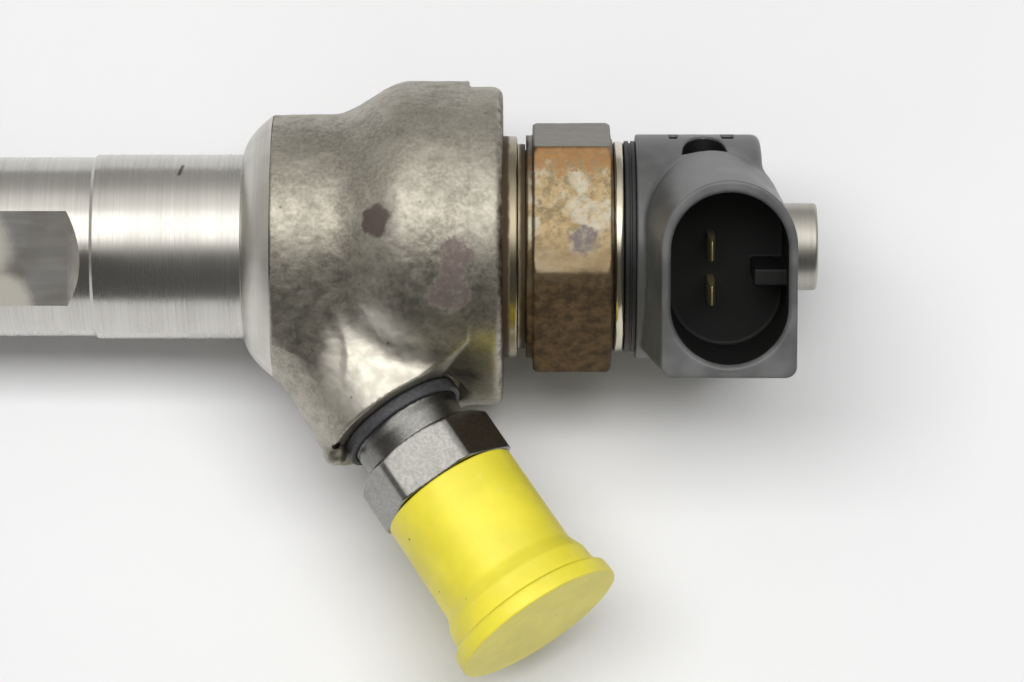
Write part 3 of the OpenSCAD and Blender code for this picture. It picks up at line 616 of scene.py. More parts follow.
def mottled(name, base, metal, size, detail, shades, roughs, bump, edges=None):
    """One colour, clouded between two shades of itself by noise of that size."""
    f = Finish(name, base, sum(roughs) / 2, metal)
    fine = f.noise(size, detail)
    share = f.ramp(fine, *edges) if edges else fine
    f.colour(f.mix(share, tint(base, shades[0]), tint(base, shades[1])))
    f.rough(f.blend(fine, *roughs))
    f.bump(fine, *bump)
    return f.material


def shaft_finish():
    f = turned_steel("ground_shaft", tuple(colours().steel), 0.26, 3.0, 0.12, 0.12)
    shade = f.last_colour()
    # a slanted nick near the top of the ground shaft
    x, y, z = f.split(f.place)
    across = f.math("ABSOLUTE", f.math("MULTIPLY_ADD", f.math("SUBTRACT", y, 5.9 * MM), -0.25,
                                       f.math("SUBTRACT", x, 87.6 * MM)))
    along = f.math("ABSOLUTE", f.math("SUBTRACT", y, 5.9 * MM))
    nick = f.math("MULTIPLY", f.ramp(across, 0.12 * MM, 0.28 * MM, 1.0, 0.0),
                  f.ramp(along, 0.7 * MM, 1.0 * MM, 1.0, 0.0))
    nick = f.math("MULTIPLY", nick, f.ramp(z, 0.0, 1 * MM))
    f.colour(f.mix(f.math("MULTIPLY", nick, 0.8), shade, (0.07, 0.06, 0.05)))
    return f.material


def flat_finish():
    """Milled clamp flats: smooth, with a pale worn patch where the clamp's fork pressed."""
    base = tuple(colours().steel)
    f = Finish("milled_flat", base, 0.24, 0.8)
    mill = f.noise(1.0, 2.0, 0.5, f.stretched(0.25, 1.6, 1.6))
    stain = f.ramp(f.noise(7.0, 3.0), 0.42, 0.66)
    shade = f.mix(f.ramp(mill, 0.3, 0.7), tint(base, 0.85), tint(base, 1.0))
    shade = f.mix(f.math("MULTIPLY", stain, 0.45), shade, (0.30, 0.25, 0.20))
    worn = f.math("MAXIMUM", f.near((66.5, -9.5, 5.2), 5.2, 0.25, 3.0),
                  f.near((62.0, -4.0, 8.6), 7.6, 0.3, 3.0))
    f.colour(f.mix(worn, shade, (0.46, 0.44, 0.38)))
    f.metal(f.blend(worn, 0.8, 0.25))
    f.rough(f.blend(worn, 0.22, 0.40))
    f.bump(mill, 0.004, 0.4)
    return f.material


def forging_finish():
    c = colours()
    base = tuple(c.forging)
    f = Finish("shot_blasted_forging", base, 0.42, 1.0)
    fine, mid, wide = f.noise(0.4, 3.0), f.noise(1.3, 3.0), f.noise(6.0, 3.0)
    shade = f.mix(f.ramp(fine, 0.3, 0.7), tint(base, 0.82), tint(base, 1.18))
    shade = f.mix(f.ramp(mid, 0.5, 0.75, 0.0, 0.40), shade, tint(base, 0.62))
    shade = f.mix(f.ramp(wide, 0.35, 0.7, 0.0, 0.35), shade, (0.62, 0.59, 0.51))
    # painted highlight: the top of the lobe is lightened where light falls on its ridge
    ridge = f.near((109.5, -17.5, 9.2), 7.5, 1.0, 3.0)
    shade = f.mix(f.math("MULTIPLY", ridge, 0.85), shade, (0.72, 0.69, 0.61))
    specks = f.ramp(f.specks(1.9), 0.05, 0.12, 0.6, 0.0)
    shade = f.mix(f.math("MULTIPLY", specks, f.ramp(wide, 0.45, 0.6)), shade, (0.10, 0.08, 0.065))
    oxide = f.near((109.9, -3.5, 17.2), 2.3, 0.8, 1.3)
    light = None
    for point, reach in (((118.5, -7.1, 17.5), 2.0), ((119.7, -7.6, 17.3), 1.6), ((118.4, -9.2, 16.4), 1.9),
                         ((118.2, -11.3, 15.1), 2.9), ((117.0, -11.6, 15.0), 1.9)):
        spot = f.near(point, reach * 0.85, 1.0, 0.7)
        light = spot if light is None else f.math("MAXIMUM", light, spot)
    light = f.math("MULTIPLY", light, f.ramp(f.noise(0.9, 3.0), 0.25, 0.5, 0.45, 0.85))
    shade = f.mix(light, shade, (0.125, 0.088, 0.082))
    shade = f.mix(f.math("MULTIPLY", oxide, 0.92), shade, tuple(c.oxide))
    # painted shade: a near-black spot by the lug stands in for the dark inside of a small hole
    hole_shade = f.near(tuple(INLET @ Vector((-8.2, 3.0, 24.6))), 0.75, 0.3, 1.0)
    shade = f.mix(hole_shade, shade, (0.01, 0.01, 0.01))
    # rust creeps over the edge of the rim
    creep = f.math("MULTIPLY_ADD", f.noise(0.9, 4.0), 1.6 * MM, f.split(f.place)[0])
    rim_end = sizes()["neck"] * MM
    creep = f.ramp(creep, rim_end + 0.15 * MM, rim_end + 0.75 * MM, 0.0, 0.8)
    f.colour(f.mix(creep, shade, (0.10, 0.072, 0.045)))
    f.metal(f.blend(f.math("MAXIMUM", oxide, light), 1.0, 0.3))
    f.rough(f.blend(f.ramp(mid, 0.3, 0.7), 0.36, 0.52))
    f.bump(fine, 0.022, 0.6)
    f.bump(mid, 0.05, 0.5)
    return f.material


def collar_finish():
    return turned_steel("turned_collar", (0.64, 0.63, 0.58), 0.36, 2.0, 0.10, 0.25).material


def neck_finish():
    f = turned_steel("neck_with_painted_shade", (0.38, 0.33, 0.23), 0.26, 2.0, 0.15, 0.3)
    shade = f.last_colour()
    x = f.split(f.place)[0]
    # painted shade darkens the neck, all but a narrow lit band round x = 125.25 mm
    edges = f.math("ABSOLUTE", f.math("SUBTRACT", x, 125.25 * MM))
    grime_and_shade = f.math("MULTIPLY_ADD", f.noise(1.4, 4.0), 0.35 * MM, edges)
    grime_and_shade = f.ramp(grime_and_shade, 0.55 * MM, 1.0 * MM)
    f.colour(f.mix(grime_and_shade, shade, (0.07, 0.045, 0.02)))
    f.metal(f.blend(grime_and_shade, 1.0, 0.3))
    f.rough(f.blend(grime_and_shade, 0.26, 0.6))
    return f.material


def nut_finish():
    c = colours()
    base, rust = tuple(c.nut), tuple(c.rust)
    f = Finish("heat_tinted_nut", base, 0.42, 0.8)
    y = f.split(f.place)[1]
    wide, mid, fine = f.noise(3.0, 4.0), f.noise(1.1, 5.0, 0.65), f.noise(0.3, 3.0)
    shade = f.mix(f.ramp(mid, 0.38, 0.62), tint(base, 0.62), tint(base, 1.2))
    shade = f.mix(f.ramp(wide, 0.45, 0.62, 0.0, 0.7), shade, (0.42, 0.395, 0.32))
    # orange rust along the upper edge of the middle facet, brown rust all over the lower one
    upper = f.ramp(f.math("MULTIPLY_ADD", mid, 14 * MM, y), 10.2 * MM, 12.4 * MM)
    lower = f.ramp(f.math("MULTIPLY_ADD", wide, 1.5 * MM, y), -6.3 * MM, -8.3 * MM)
    foot = f.math("MULTIPLY", f.ramp(y, -2.5 * MM, -6.5 * MM), 0.75)
    streak = f.math("MULTIPLY", f.ramp(f.noise(1.3, 5.0, 0.65), 0.52, 0.62), 0.6)
    shade = f.mix(streak, shade, (0.29, 0.195, 0.085))
    shade = f.mix(f.math("MULTIPLY", upper, 0.75), shade, (0.22, 0.105, 0.035))
    shade = f.mix(foot, shade, (0.20, 0.145, 0.08))
    violet = f.near((133.0, -4.2, 13.2), 2.1, 1.0, 0.9)
    violet = f.math("MULTIPLY", violet, f.ramp(mid, 0.3, 0.55, 0.35, 0.9))
    shade = f.mix(violet, shade, (0.105, 0.082, 0.082))
    shade = f.mix(lower, shade, f.mix(f.ramp(mid, 0.35, 0.65), tint(rust, 0.55), tint(rust, 1.5)))
    # painted shade: the top facet is darkened to a dark grey
    top = f.ramp(y, 6.7 * MM, 7.1 * MM)
    shade = f.mix(f.math("MULTIPLY", top, 0.88), shade, (0.125, 0.12, 0.10))
    f.colour(f.mix(f.ramp(fine, 0.6, 0.75, 0.0, 0.4), shade, (0.07, 0.05, 0.03)))
    f.metal(f.blend(f.math("MAXIMUM", lower, f.math("MULTIPLY", violet, 0.7)), 0.8, 0.1))
    f.rough(f.blend(lower, f.blend(mid, 0.30, 0.46), 0.7))
    f.bump(fine, 0.02, 0.5)
    f.bump(mid, 0.04, 0.35)
    return f.material


def zinc_finish():
    base = tuple(colours().zinc)
    f = Finish("satin_zinc", base, 0.3, 1.0)
    fine, wide = f.noise(0.35, 3.0), f.noise(1.8, 3.0)
    shade = f.mix(f.ramp(fine, 0.3, 0.7), tint(base, 0.85), tint(base, 1.12))
    shade = f.mix(f.ramp(wide, 0.45, 0.75, 0.0, 0.5), shade, tint(base, 0.72))
    # painted shade: the neck below the hexagon is darkened
    neck = f.near(tuple(INLET @ Vector((0, 0, 26.0))), 7.9, 0.1)
    f.colour(f.mix(f.math("MULTIPLY", neck, 0.8), shade, (0.07, 0.07, 0.068)))
    f.rough(f.blend(wide, 0.24, 0.40))
    f.bump(fine, 0.006, 0.5)
    return f.material


def dark_steel_finish():
    return turned_steel("dark_turned_steel", (0.19, 0.188, 0.185), 0.33, 2.5, 0.2, 0.3).material


def nozzle_finish():
    """Hardened nozzle steel, tinted by heat towards its tip."""
    f = turned_steel("nozzle_steel", (0.36, 0.355, 0.35), 0.26, 3.0, 0.15, 0.2)
    shade = f.last_colour()
    x = f.split(f.place)[0]
    heat = f.ramp(f.math("MULTIPLY_ADD", f.noise(3.0), 5 * MM, x), -4 * MM, -16 * MM)
    straw = f.mix(f.ramp(heat, 0.5, 1.0), (0.30, 0.19, 0.08), (0.07, 0.065, 0.09))
    f.colour(f.mix(f.math("MULTIPLY", heat, 0.8), shade, straw))
    return f.material


def sleeve_finish():
    return turned_steel("bright_sleeve", (0.66, 0.61, 0.50), 0.20, 2.5, 0.12, 0.3).material


def stub_finish():
    return turned_steel("return_stub_steel", (0.46, 0.445, 0.40), 0.38, 2.5, 0.10, 0.2).material


def plastic_finish():
    base = tuple(colours().plastic)
    f = Finish("moulded_head", base, 0.36, 0.0, Specular_IOR_Level=0.5)
    fine, wide = f.noise(0.25, 2.0), f.noise(5.0, 3.0)
    shade = f.mix(f.ramp(wide, 0.4, 0.7), tint(base, 0.85), tint(base, 1.3))
    dust = f.ramp(f.specks(2.6), 0.02, 0.04, 0.8, 0.0)
    dust = f.math("MULTIPLY", dust, f.ramp(f.noise(3.0), 0.5, 0.6))
    shade = f.mix(dust, shade, (0.30, 0.29, 0.27))
    scuff = f.ramp(f.noise(1.0, 5.0, 0.6, f.stretched(0.35, 0.9, 0.9)), 0.62, 0.72, 0.0, 0.2)
    f.colour(f.mix(scuff, shade, (0.13, 0.13, 0.125)))
    f.rough(f.blend(f.ramp(wide, 0.3, 0.7), 0.32, 0.44))
    f.bump(fine, 0.008, 0.5)
    return f.material


def cavity_shade_finish():
    """The same plastic deep in the connector, clean, and painted almost black as shade."""
    base = tint(tuple(colours().plastic), 0.07)
    f = Finish("moulded_cavity_painted_shade", base, 0.5, 0.0, Specular_IOR_Level=0.3)
    fine = f.noise(0.3, 2.0)
    f.colour(f.mix(fine, tint(base, 0.7), tint(base, 1.4)))
    f.rough(f.blend(fine, 0.45, 0.6))
    return f.material


def rubber_finish(name="seal_rubber", lighter=1.0):
    return mottled(name, tint(tuple(colours().rubber), lighter), 0.0, 0.4, 3.0, (1.0, 1.8), (0.40, 0.62),
                   (0.02, 0.4), (0.4, 0.75))


def gold_finish():
    return mottled("gold_plate", tuple(colours().gold), 1.0, 0.4, 3.0, (0.75, 1.1), (0.22, 0.38),
                   (0.006, 0.5), (0.35, 0.7))


def cap_finish():
    base = tuple(colours().cap)
    f = Finish("soft_yellow_plastic", base, 0.36, 0.0)
    wide, mid, fine = f.noise(6.0, 3.0), f.noise(1.4, 3.0), f.noise(0.3, 2.0)
    shade = f.mix(f.ramp(wide, 0.35, 0.7), tint(base, 0.93), tint(base, 1.05))
    scuff = f.ramp(f.noise(1.0, 4.0, 0.7), 0.60, 0.72, 0.0, 0.35)
    shade = f.mix(scuff, shade, (0.86, 0.80, 0.28))
    dirt = f.ramp(f.specks(3.1), 0.035, 0.06, 0.9, 0.0)
    dirt = f.math("MULTIPLY", dirt, f.ramp(f.noise(4.0, 2.0), 0.50, 0.56))
    f.colour(f.mix(dirt, shade, (0.13, 0.095, 0.01)))
    f.rough(f.blend(mid, 0.28, 0.46))
    f.bump(mid, 0.04, 0.35)
    f.bump(fine, 0.008, 0.4)
    return f.material


def copper_finish():
    base = tuple(colours().copper)
    f = Finish("dull_copper", base, 0.4, 1.0)
    wide, fine = f.noise(2.0, 4.0), f.noise(0.3, 2.0)
    f.colour(f.mix(f.ramp(wide, 0.4, 0.7), tint(base, 0.5), base))
    f.rough(f.blend(wide, 0.3, 0.55))
    f.bump(fine, 0.01, 0.5)
    return f.material


def winding_finish():
    """Enamelled wire, wound round the injector's axis."""
    base = tuple(colours().copper)
    f = Finish("coil_winding", base, 0.25, 1.0)
    wave = f.add("ShaderNodeTexWave", bands_direction="X")
    f.feed(wave.inputs["Vector"], f.stretched(0.55, 0.0, 0.0))
    f.colour(f.mix(wave.outputs["Fac"], tint(base, 0.35), tint(base, 1.05)))
    f.rough(f.blend(f.noise(0.5), 0.2, 0.35))
    f.bump(wave.outputs["Fac"], 0.1, 0.8)
    return f.material


def small_steel_finish():
    return turned_steel("lapped_steel", tuple(colours().steel), 0.18, 3.0, 0.10, 0.1).material


def spring_finish():
    return mottled("shot_peened_wire", (0.22, 0.22, 0.24), 1.0, 0.15, 3.0, (0.6, 1.6), (0.34, 0.5),
                   (0.02, 0.6))


def soft_iron_finish():
    base = (0.13, 0.13, 0.135)
    f = Finish("pressed_iron", base, 0.55, 0.7)
    fine, wide = f.noise(0.2, 3.0), f.noise(1.5, 3.0)
    f.colour(f.mix(fine, tint(base, 0.6), tint(base, 1.7)))
    f.rough(f.blend(wide, 0.45, 0.68))
    f.bump(fine, 0.03, 0.6)
    return f.material


def blackened_finish():
    return turned_steel("blackened_steel", (0.085, 0.085, 0.088), 0.4, 2.5, 0.3, 0.1).material


def bobbin_finish():
    return mottled("bobbin_plastic", (0.05, 0.042, 0.035), 0.0, 0.5, 3.0, (0.7, 1.5), (0.38, 0.55),
                   (0.01, 0.4))


def ptfe_finish():
    return mottled("seal_ptfe", (0.62, 0.58, 0.45), 0.0, 0.8, 3.0, (0.85, 1.1), (0.42, 0.58), (0.01, 0.4))


def floor_finish():
    base = tuple(colours().floor)
    f = Finish("matt_board", base, 0.75, 0.0)
    wide = f.noise(70.0, 3.0)
    f.colour(f.mix(f.ramp(wide, 0.3, 0.7), tint(base, 0.985), tint(base, 1.01)))
    f.bump(f.noise(0.8, 2.0), 0.01, 0.2)
    return f.material


# ---- the injector body

def body_bores():
    """The body's bores along its axis, as (start, end, radius)."""
    screw_foot = X_VALVE_TOP - CLAMP_SCREW_LEN
    return [(X_FACE - 1, X_SPRING_TOP, SPRING_BORE_R), (X_FACE, X_VALVE_TOP, PISTON_BORE_R),
            (X_GALLERY, screw_foot, VALVE_BORE_R), (screw_foot, X_VALVE_TOP, CLAMP_SCREW_R),
            (X_VALVE_TOP, X_LEDGE, CAVITY_R - 1.15), (X_LEDGE, X_SPIGOT + 1, CAVITY_R)]


def barrel_radius(x, s):
    """Outside of the forged barrel: straight next to the collar, then swelling to its thick end."""
    swell = np.clip((x - s["forging"] - 6.6) / 9.0, 0, 1)
    return s["forging_radius"] + (BARREL_R - s["forging_radius"]) * swell * swell * (3 - 2 * swell)


def forging_field(s):
    """The barrel, the inlet boss that grows out of it, and its machined rim."""
    rim_step = 0.9
    web_half, web_round = 8.7, 5.0
    spot_r, socket_r, socket_foot = 8.1, 6.05, 15.0

    def field(p):
        x, y, z = p[:, 0], p[:, 1], p[:, 2]
        r = np.hypot(y, z)
        local = into(INLET, p)
        u, v, t = local[:, 0], local[:, 1], local[:, 2]
        rho = np.hypot(u, v)
        barrel = soft_both((r - barrel_radius(x, s)) * 0.94, x - s["rim"], 0.3)
        # the boss, and the web that joins it to the rim; both end in one machined face
        boss = np.maximum(rho - s["boss_radius"] + 0.05 * np.clip(s["boss_reach"] - t, 0, 14), -t)
        web = rounded_box(y + 8.0, z, 12.5, web_half, web_round)
        web = soft_both(web, np.maximum(s["boss_web"] - x, x - s["rim"]), 0.3)
        lobe = soft_union(boss, web, 1.5)
        # the fillet is widest on the upper side, where the boss leaves the collar
        widening = 2.2 * np.clip((110 - x) / 10, 0, 1) * np.clip((z - 1) / 6, 0, 1)
        fillet = s["boss_blend"] * (1 + widening)
        shell = soft_union(barrel, lobe, fillet)
        shell = soft_both(shell, t - s["boss_reach"], 0.25)
        shell = np.maximum(shell, x - s["rim"])
        # the rim is turned, so its step shows only where the barrel stands proud of it
        side = np.clip((np.abs(y) / np.maximum(r, 1) - 0.72) / 0.2, 0, 1)
        rim = soft_both(r - (BARREL_R - 0.12 - (rim_step - 0.12) * side * side), x - s["neck"], 1.4)
        rim = np.maximum(rim, s["rim"] - 3 - x)
        shell = soft_union(shell, rim, 0.15)
        shell = np.maximum(shell, s["forging"] - x)
        spot = np.maximum(rho - spot_r, s["boss_reach"] - t)
        shell = soft_cut(shell, spot, 0.2)
        lug = np.sqrt((u + 8.5) ** 2 + (v - 0.9) ** 2 + (t - s["boss_reach"] - 0.2) ** 2) - 1.3
        shell = soft_union(shell, lug, 0.8)
        socket = np.maximum(rho - socket_r, socket_foot - t)
        bores = [rod_field(x, r, low, high, bore) for low, high, bore in body_bores()]
        return np.maximum(shell, -np.minimum.reduce(bores + [socket]))
    return field


def forging_grain(s):
    def grain(p):
        r = np.hypot(p[:, 1], p[:, 2])
        local = into(INLET, p)
        rough_skin = np.clip((r - 13.5) / 1.0, 0, 1) * np.clip((s["rim"] - p[:, 0]) / 0.6, 0.25, 1)
        rough_skin *= np.clip((s["boss_reach"] - 0.3 - local[:, 2]) / 0.4, 0.1, 1)
        fine = 0.7 * lumps(p, 0.6, 3) + 0.7 * lumps(p, 1.3, 4) + 2.5 * lumps(p, 6.5, 5)
        return rough_skin * s["grain"] * fine
    return grain


def shaft_part(s):
    """Nose, shaft and collar, turned in one profile with the bores, and the two clamp flats."""
    collar_len = s["forging"] - s["collar"]
    climb = s["forging_radius"] - 0.1 - s["upper_shaft"]
    collar = []
    for k in range(1, 13):
        a = math.pi / 2 * k / 12
        lift = (math.sin(a) + 1 - math.cos(a)) / 2
        collar.append((s["collar"] + collar_len * (1 - math.cos(a)), s["upper_shaft"] + climb * lift))
    nose_r = 7.15
    outline = [(X_FACE, SPRING_BORE_R), (X_FACE, nose_r, 0.6), (X_NUT_TOP + 0.5, nose_r, 0.3),
               (X_NUT_TOP + 0.5, s["lower_shaft"], 1.0), (s["shaft_step"], s["lower_shaft"], 0.1),
               (s["shaft_step"] + 0.35, s["upper_shaft"], 0.15), (s["collar"], s["upper_shaft"], 0.3),
               *collar, (s["forging"], VALVE_BORE_R), (X_GALLERY, VALVE_BORE_R),
               (X_GALLERY, PISTON_BORE_R), (X_SPRING_TOP, PISTON_BORE_R), (X_SPRING_TOP, SPRING_BORE_R)]
    shaft = paint(lathe("shaft", outline, 192), shaft_finish())
    shaft.data.materials.append(flat_finish())
    shaft.data.materials.append(collar_finish())
    flat = s["lower_shaft"] - s["flat_depth"]
    tools = []
    for side in (1, -1):
        low = [(s["flat_start"], flat), (s["flat_end"], flat), (s["flat_end"] + 3, flat + 3),
               (s["flat_start"], flat + 3)]
        corners = [CONNECTOR @ Vector((x, w, side * h)) for w in (-12, 12) for x, h in low]
        tool = block("flat_cutter", [tuple(c) for c in corners])
        tool.data.materials.append(shaft.data.materials[1])
        tools.append(tool)
    cut(shaft, *tools)
    for face in shaft.data.polygons:
        if face.center.x / MM > s["collar"] + 0.1:
            face.material_index = 2
    shaft.data.polygons.foreach_set("use_smooth", [True] * len(shaft.data.polygons))
    sharpen(shaft, 20)
    return shaft


def spigot_part(s):
    """Neck below the solenoid nut and the threaded spigot inside it."""
    groove = s["nut_seat"] - 0.9
    outline = [(s["neck"] - 0.4, CAVITY_R), (s["neck"] - 0.4, s["neck_radius"]),
               (groove, s["neck_radius"], 0.3), (groove, s["neck_radius"] - 0.9, 0.2),
               (s["nut_seat"], s["neck_radius"] - 0.9), (s["nut_seat"], SPIGOT_R),
               (X_SPIGOT, SPIGOT_R, 0.5), (X_SPIGOT, CAVITY_R + 1), (X_SPIGOT - 1, CAVITY_R + 1),
               (X_SPIGOT - 1, CAVITY_R)]
    return paint(lathe("spigot", outline, 128), neck_finish())


class INJECTOR_OT_body(bpy.types.Operator):
    """Make the forged and machined injector body"""
    bl_idname = "injector.body"
    bl_label = "Body"

    def execute(self, context):
        s = sizes()
        step = 0.28
        forging = skin("forging", forging_field(s), (s["forging"] - 0.6, -29, -BARREL_R - 0.6),
                       (s["neck"] + 0.6, BARREL_R + 0.6, BARREL_R + 0.6), step, forging_grain(s))
        paint(forging, forging_finish())
        stand_in(join("injector_body_forging", forging, shaft_part(s), spigot_part(s)), "injector_body")
        return {"FINISHED"}


# ---- nozzle end

class INJECTOR_OT_nozzle(bpy.types.Operator):
    """Make the nozzle nut, the nozzle body and the sealing washer"""
    bl_idname = "injector.nozzle"
    bl_label = "Nozzle end"

    def execute(self, context):
        nut_r = 8.5
        opening = 4.65
        bore = nut_r - 1.3
        flats, flats_len = X_NUT_TOP - 12, 10

        def nut(p):
            x, r = p[:, 0], np.hypot(p[:, 1], p[:, 2])
            past = np.where(x > flats, np.where(x > flats + flats_len, 0.2, 0.8), 0.0)
            tube = soft_both(r - nut_r + past, X_WASHER - x, 1.2)
            tube = np.maximum(tube, x - X_NUT_TOP)
            trim = r - (nut_r + 0.7) + np.clip(flats + 1.2 - x, 0, 2) * 0.6
            hexed = soft_both(hexagon(p[:, 1], p[:, 2], nut_r - 0.5, math.pi / 6), trim, 0.25)
            hexed = soft_both(hexed, np.maximum(flats - x, x - flats - flats_len), 0.25)
            inside = np.minimum(r - opening, rod_field(x, r, X_WASHER + 4, X_NUT_TOP + 1, bore))
            return soft_cut(np.minimum(tube, hexed), inside, 0.12)
        step = 0.24
        piece = skin("nozzle_nut", nut, (X_WASHER - 0.5, -10, -10), (X_NUT_TOP + 0.5, 10, 10), step)
        stand_in(paint(piece, dark_steel_finish()), "nozzle_retaining_nut")

        tip, stem = X_NOZZLE_TIP, 3.5
        land_foot = -0.3
        neck, shoulder, thick = 4.6, X_WASHER + 4, 7.1
        guide_foot, guide_r, gallery_r = X_FACE - 10.5, 2.02, 3.0
        outline = [(tip, 0), (tip, 0.9, 0.5), (tip + 1.5, 1.9, 1.2), (tip + 4.4, stem, 0.5),
                   (land_foot, stem), (land_foot, stem + 0.2), (X_WASHER + 0.3, stem + 0.2),
                   (X_WASHER + 0.3, neck), (shoulder, neck), (shoulder, thick, 0.3),
                   (X_FACE, thick, 0.3), (X_FACE, guide_r), (guide_foot, guide_r),
                   (guide_foot, gallery_r), (guide_foot - 6, gallery_r), (guide_foot - 6, 2.1),
                   (tip + 4, 2.1),
                   (tip + 1.23, 0.5), (tip + 0.8, 0.5), (tip + 0.8, 0)]
        body = paint(lathe("nozzle", outline, 96), nozzle_finish())
        stand_in(body, "nozzle_body")

        washer_r, hole_r = radius("combustion_washer"), 3.75
        outline = [(0, hole_r, 0.2), (0, washer_r, 0.35), (X_WASHER, washer_r, 0.35), (X_WASHER, hole_r, 0.2)]
        stand_in(paint(lathe("washer", outline, 96), copper_finish()), "combustion_washer")
        return {"FINISHED"}


# ---- high-pressure inlet

def thread_ridge(turns):
    """Height of a metric thread's flank, 0 at the root and 1 at the crest, by turns along it."""
    saw = np.abs((turns % 1.0) - 0.5) * 2
    return np.clip((saw - 0.12) / 0.76, 0, 1)


class INJECTOR_OT_inlet(bpy.types.Operator):
    """Make the screwed inlet fitting with its thread, and the seal ring under it"""
    bl_idname = "injector.inlet"
    bl_label = "Inlet fitting"

    def execute(self, context):
        s = sizes()
        foot, end = 15.05, INLET_MOUTH
        hex_foot, hex_end = s["boss_reach"] + 4.8, s["boss_reach"] + 10.5
        flat, trim_r, neck_r = 7.5, 8.41, 6.45
        major, depth = s["thread_radius"], 0.92
        facet = math.radians(102.8)

        def fitting(p):
            q = into(INLET, p)
            u, v, t = q[:, 0], q[:, 1], q[:, 2]
            rho = np.hypot(u, v)
            socket = rod_field(t, rho, foot, s["boss_reach"] + 0.1, 6.0)
            seat = np.clip((t - s["boss_reach"]) / 1.5, 0, 1)
            skirt = rho - (6.0 + 0.55 * seat)
            skirt = np.maximum(skirt * 0.9, np.abs(t - s["boss_reach"] - 0.75) - 0.75)
            lean = np.clip((t - hex_foot + 2.2) / 2.0, 0, 1)
            neck = np.maximum(rho - (neck_r - 0.35 * lean),
                              np.maximum(s["boss_reach"] + 1.5 - t, t - hex_foot - 0.3))
            shape = soft_union(np.minimum(socket, skirt), neck, 0.15)
            cone = rho - trim_r + np.clip(hex_foot + 0.6 - t, 0, 3) * 1.5
            head = soft_both(hexagon(u, v, flat, facet), cone * 0.62, 0.12)
            head = soft_both(head, np.maximum(hex_foot - t, t - hex_end), 0.15)
            shape = soft_union(shape, head, 0.35)
            ridge = thread_ridge(t / s["thread_pitch"] - np.arctan2(v, u) / TAU)
            crest = np.where(t < hex_end + 1.6, 0.0, ridge)
            stub = (rho - (major - depth) - depth * crest) * 0.72
            stub = np.maximum(stub, (rho + t - end - major + 1.2) * 0.7)
            stub = np.maximum(stub, np.maximum(hex_end - 0.6 - t, t - end))
            shape = np.minimum(shape, stub)
            bore_r = 2.0 + np.clip((t - end + 4.5) / 4.5, 0, 2) * 2.6
            return soft_cut(shape, (rho - bore_r) * 0.85, 0.2)
        low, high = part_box("inlet_fitting")
        step = 0.2
        piece = skin("inlet_screw", fitting, [v / MM - 0.6 for v in low],
                     [v / MM + 0.6 for v in high], step)
        stand_in(paint(piece, zinc_finish()), "inlet_fitting")

        t, r = s["boss_reach"], 7.3
        outline = [(t + 0.02, 6.05), (t + 0.02, r, 0.4), (t + 1.5, r, 0.5), (t + 1.5, 6.65, 0.1),
                   (t + 0.1, 6.12, 0.02)]
        ring = lathe("inlet_ring", outline, 96, INLET)
        stand_in(paint(ring, rubber_finish("grey_seal", 3.0)), "inlet_seal_ring")
        return {"FINISHED"}


class INJECTOR_OT_cap(bpy.types.Operator):
    """Make the yellow transport cap on the inlet"""
    bl_idname = "injector.cap"
    bl_label = "Transport cap"

    def execute(self, context):
        s = sizes()
        start, end = s["boss_reach"] + 10.6, INLET_MOUTH + 1.8
        bore, wall = s["thread_radius"] + 0.1, 0.95
        outline = [(start, bore, 0.2), (start, bore + wall, 0.35), (end - 6.2, bore + wall + 0.15, 2.0),
                   (end - 4.5, 8.95, 1.0), (end - 2.2, 9.15, 0.5), (end - 2.1, 9.4, 0.1),
                   (end - 1.9, 9.95, 0.5), (end, 10.05, 0.3), (end, 0.0), (end - 1.5, 0.0),
                   (end - 1.5, bore, 0.6)]
        piece = lathe("transport_cap_shell", outline, 160, INLET, 5)
        # lightly dented by handling
        mesh = piece.data
        points = np.array([v.co for v in mesh.vertices], np.float32) / MM
        local = into(INLET, points)
        rho = np.hypot(local[:, 0], local[:, 1])
        push = 0.05 * lumps(points, 6.0, 11) + 0.02 * lumps(points, 2.0, 12)
        push = np.where(rho > bore + 0.3, push, 0.0)
        outward = points - np.array(INLET.translation) - np.outer(local[:, 2], np.array(INLET.col[2])[:3])
        outward /= np.maximum(np.linalg.norm(outward, axis=1), 1e-6)[:, None]
        mesh.vertices.foreach_set("co", ((points + outward * push[:, None]) * MM).ravel())
        mesh.update()
        stand_in(paint(piece, cap_finish()), "transport_cap", "cap")
        return {"FINISHED"}


# ---- solenoid end

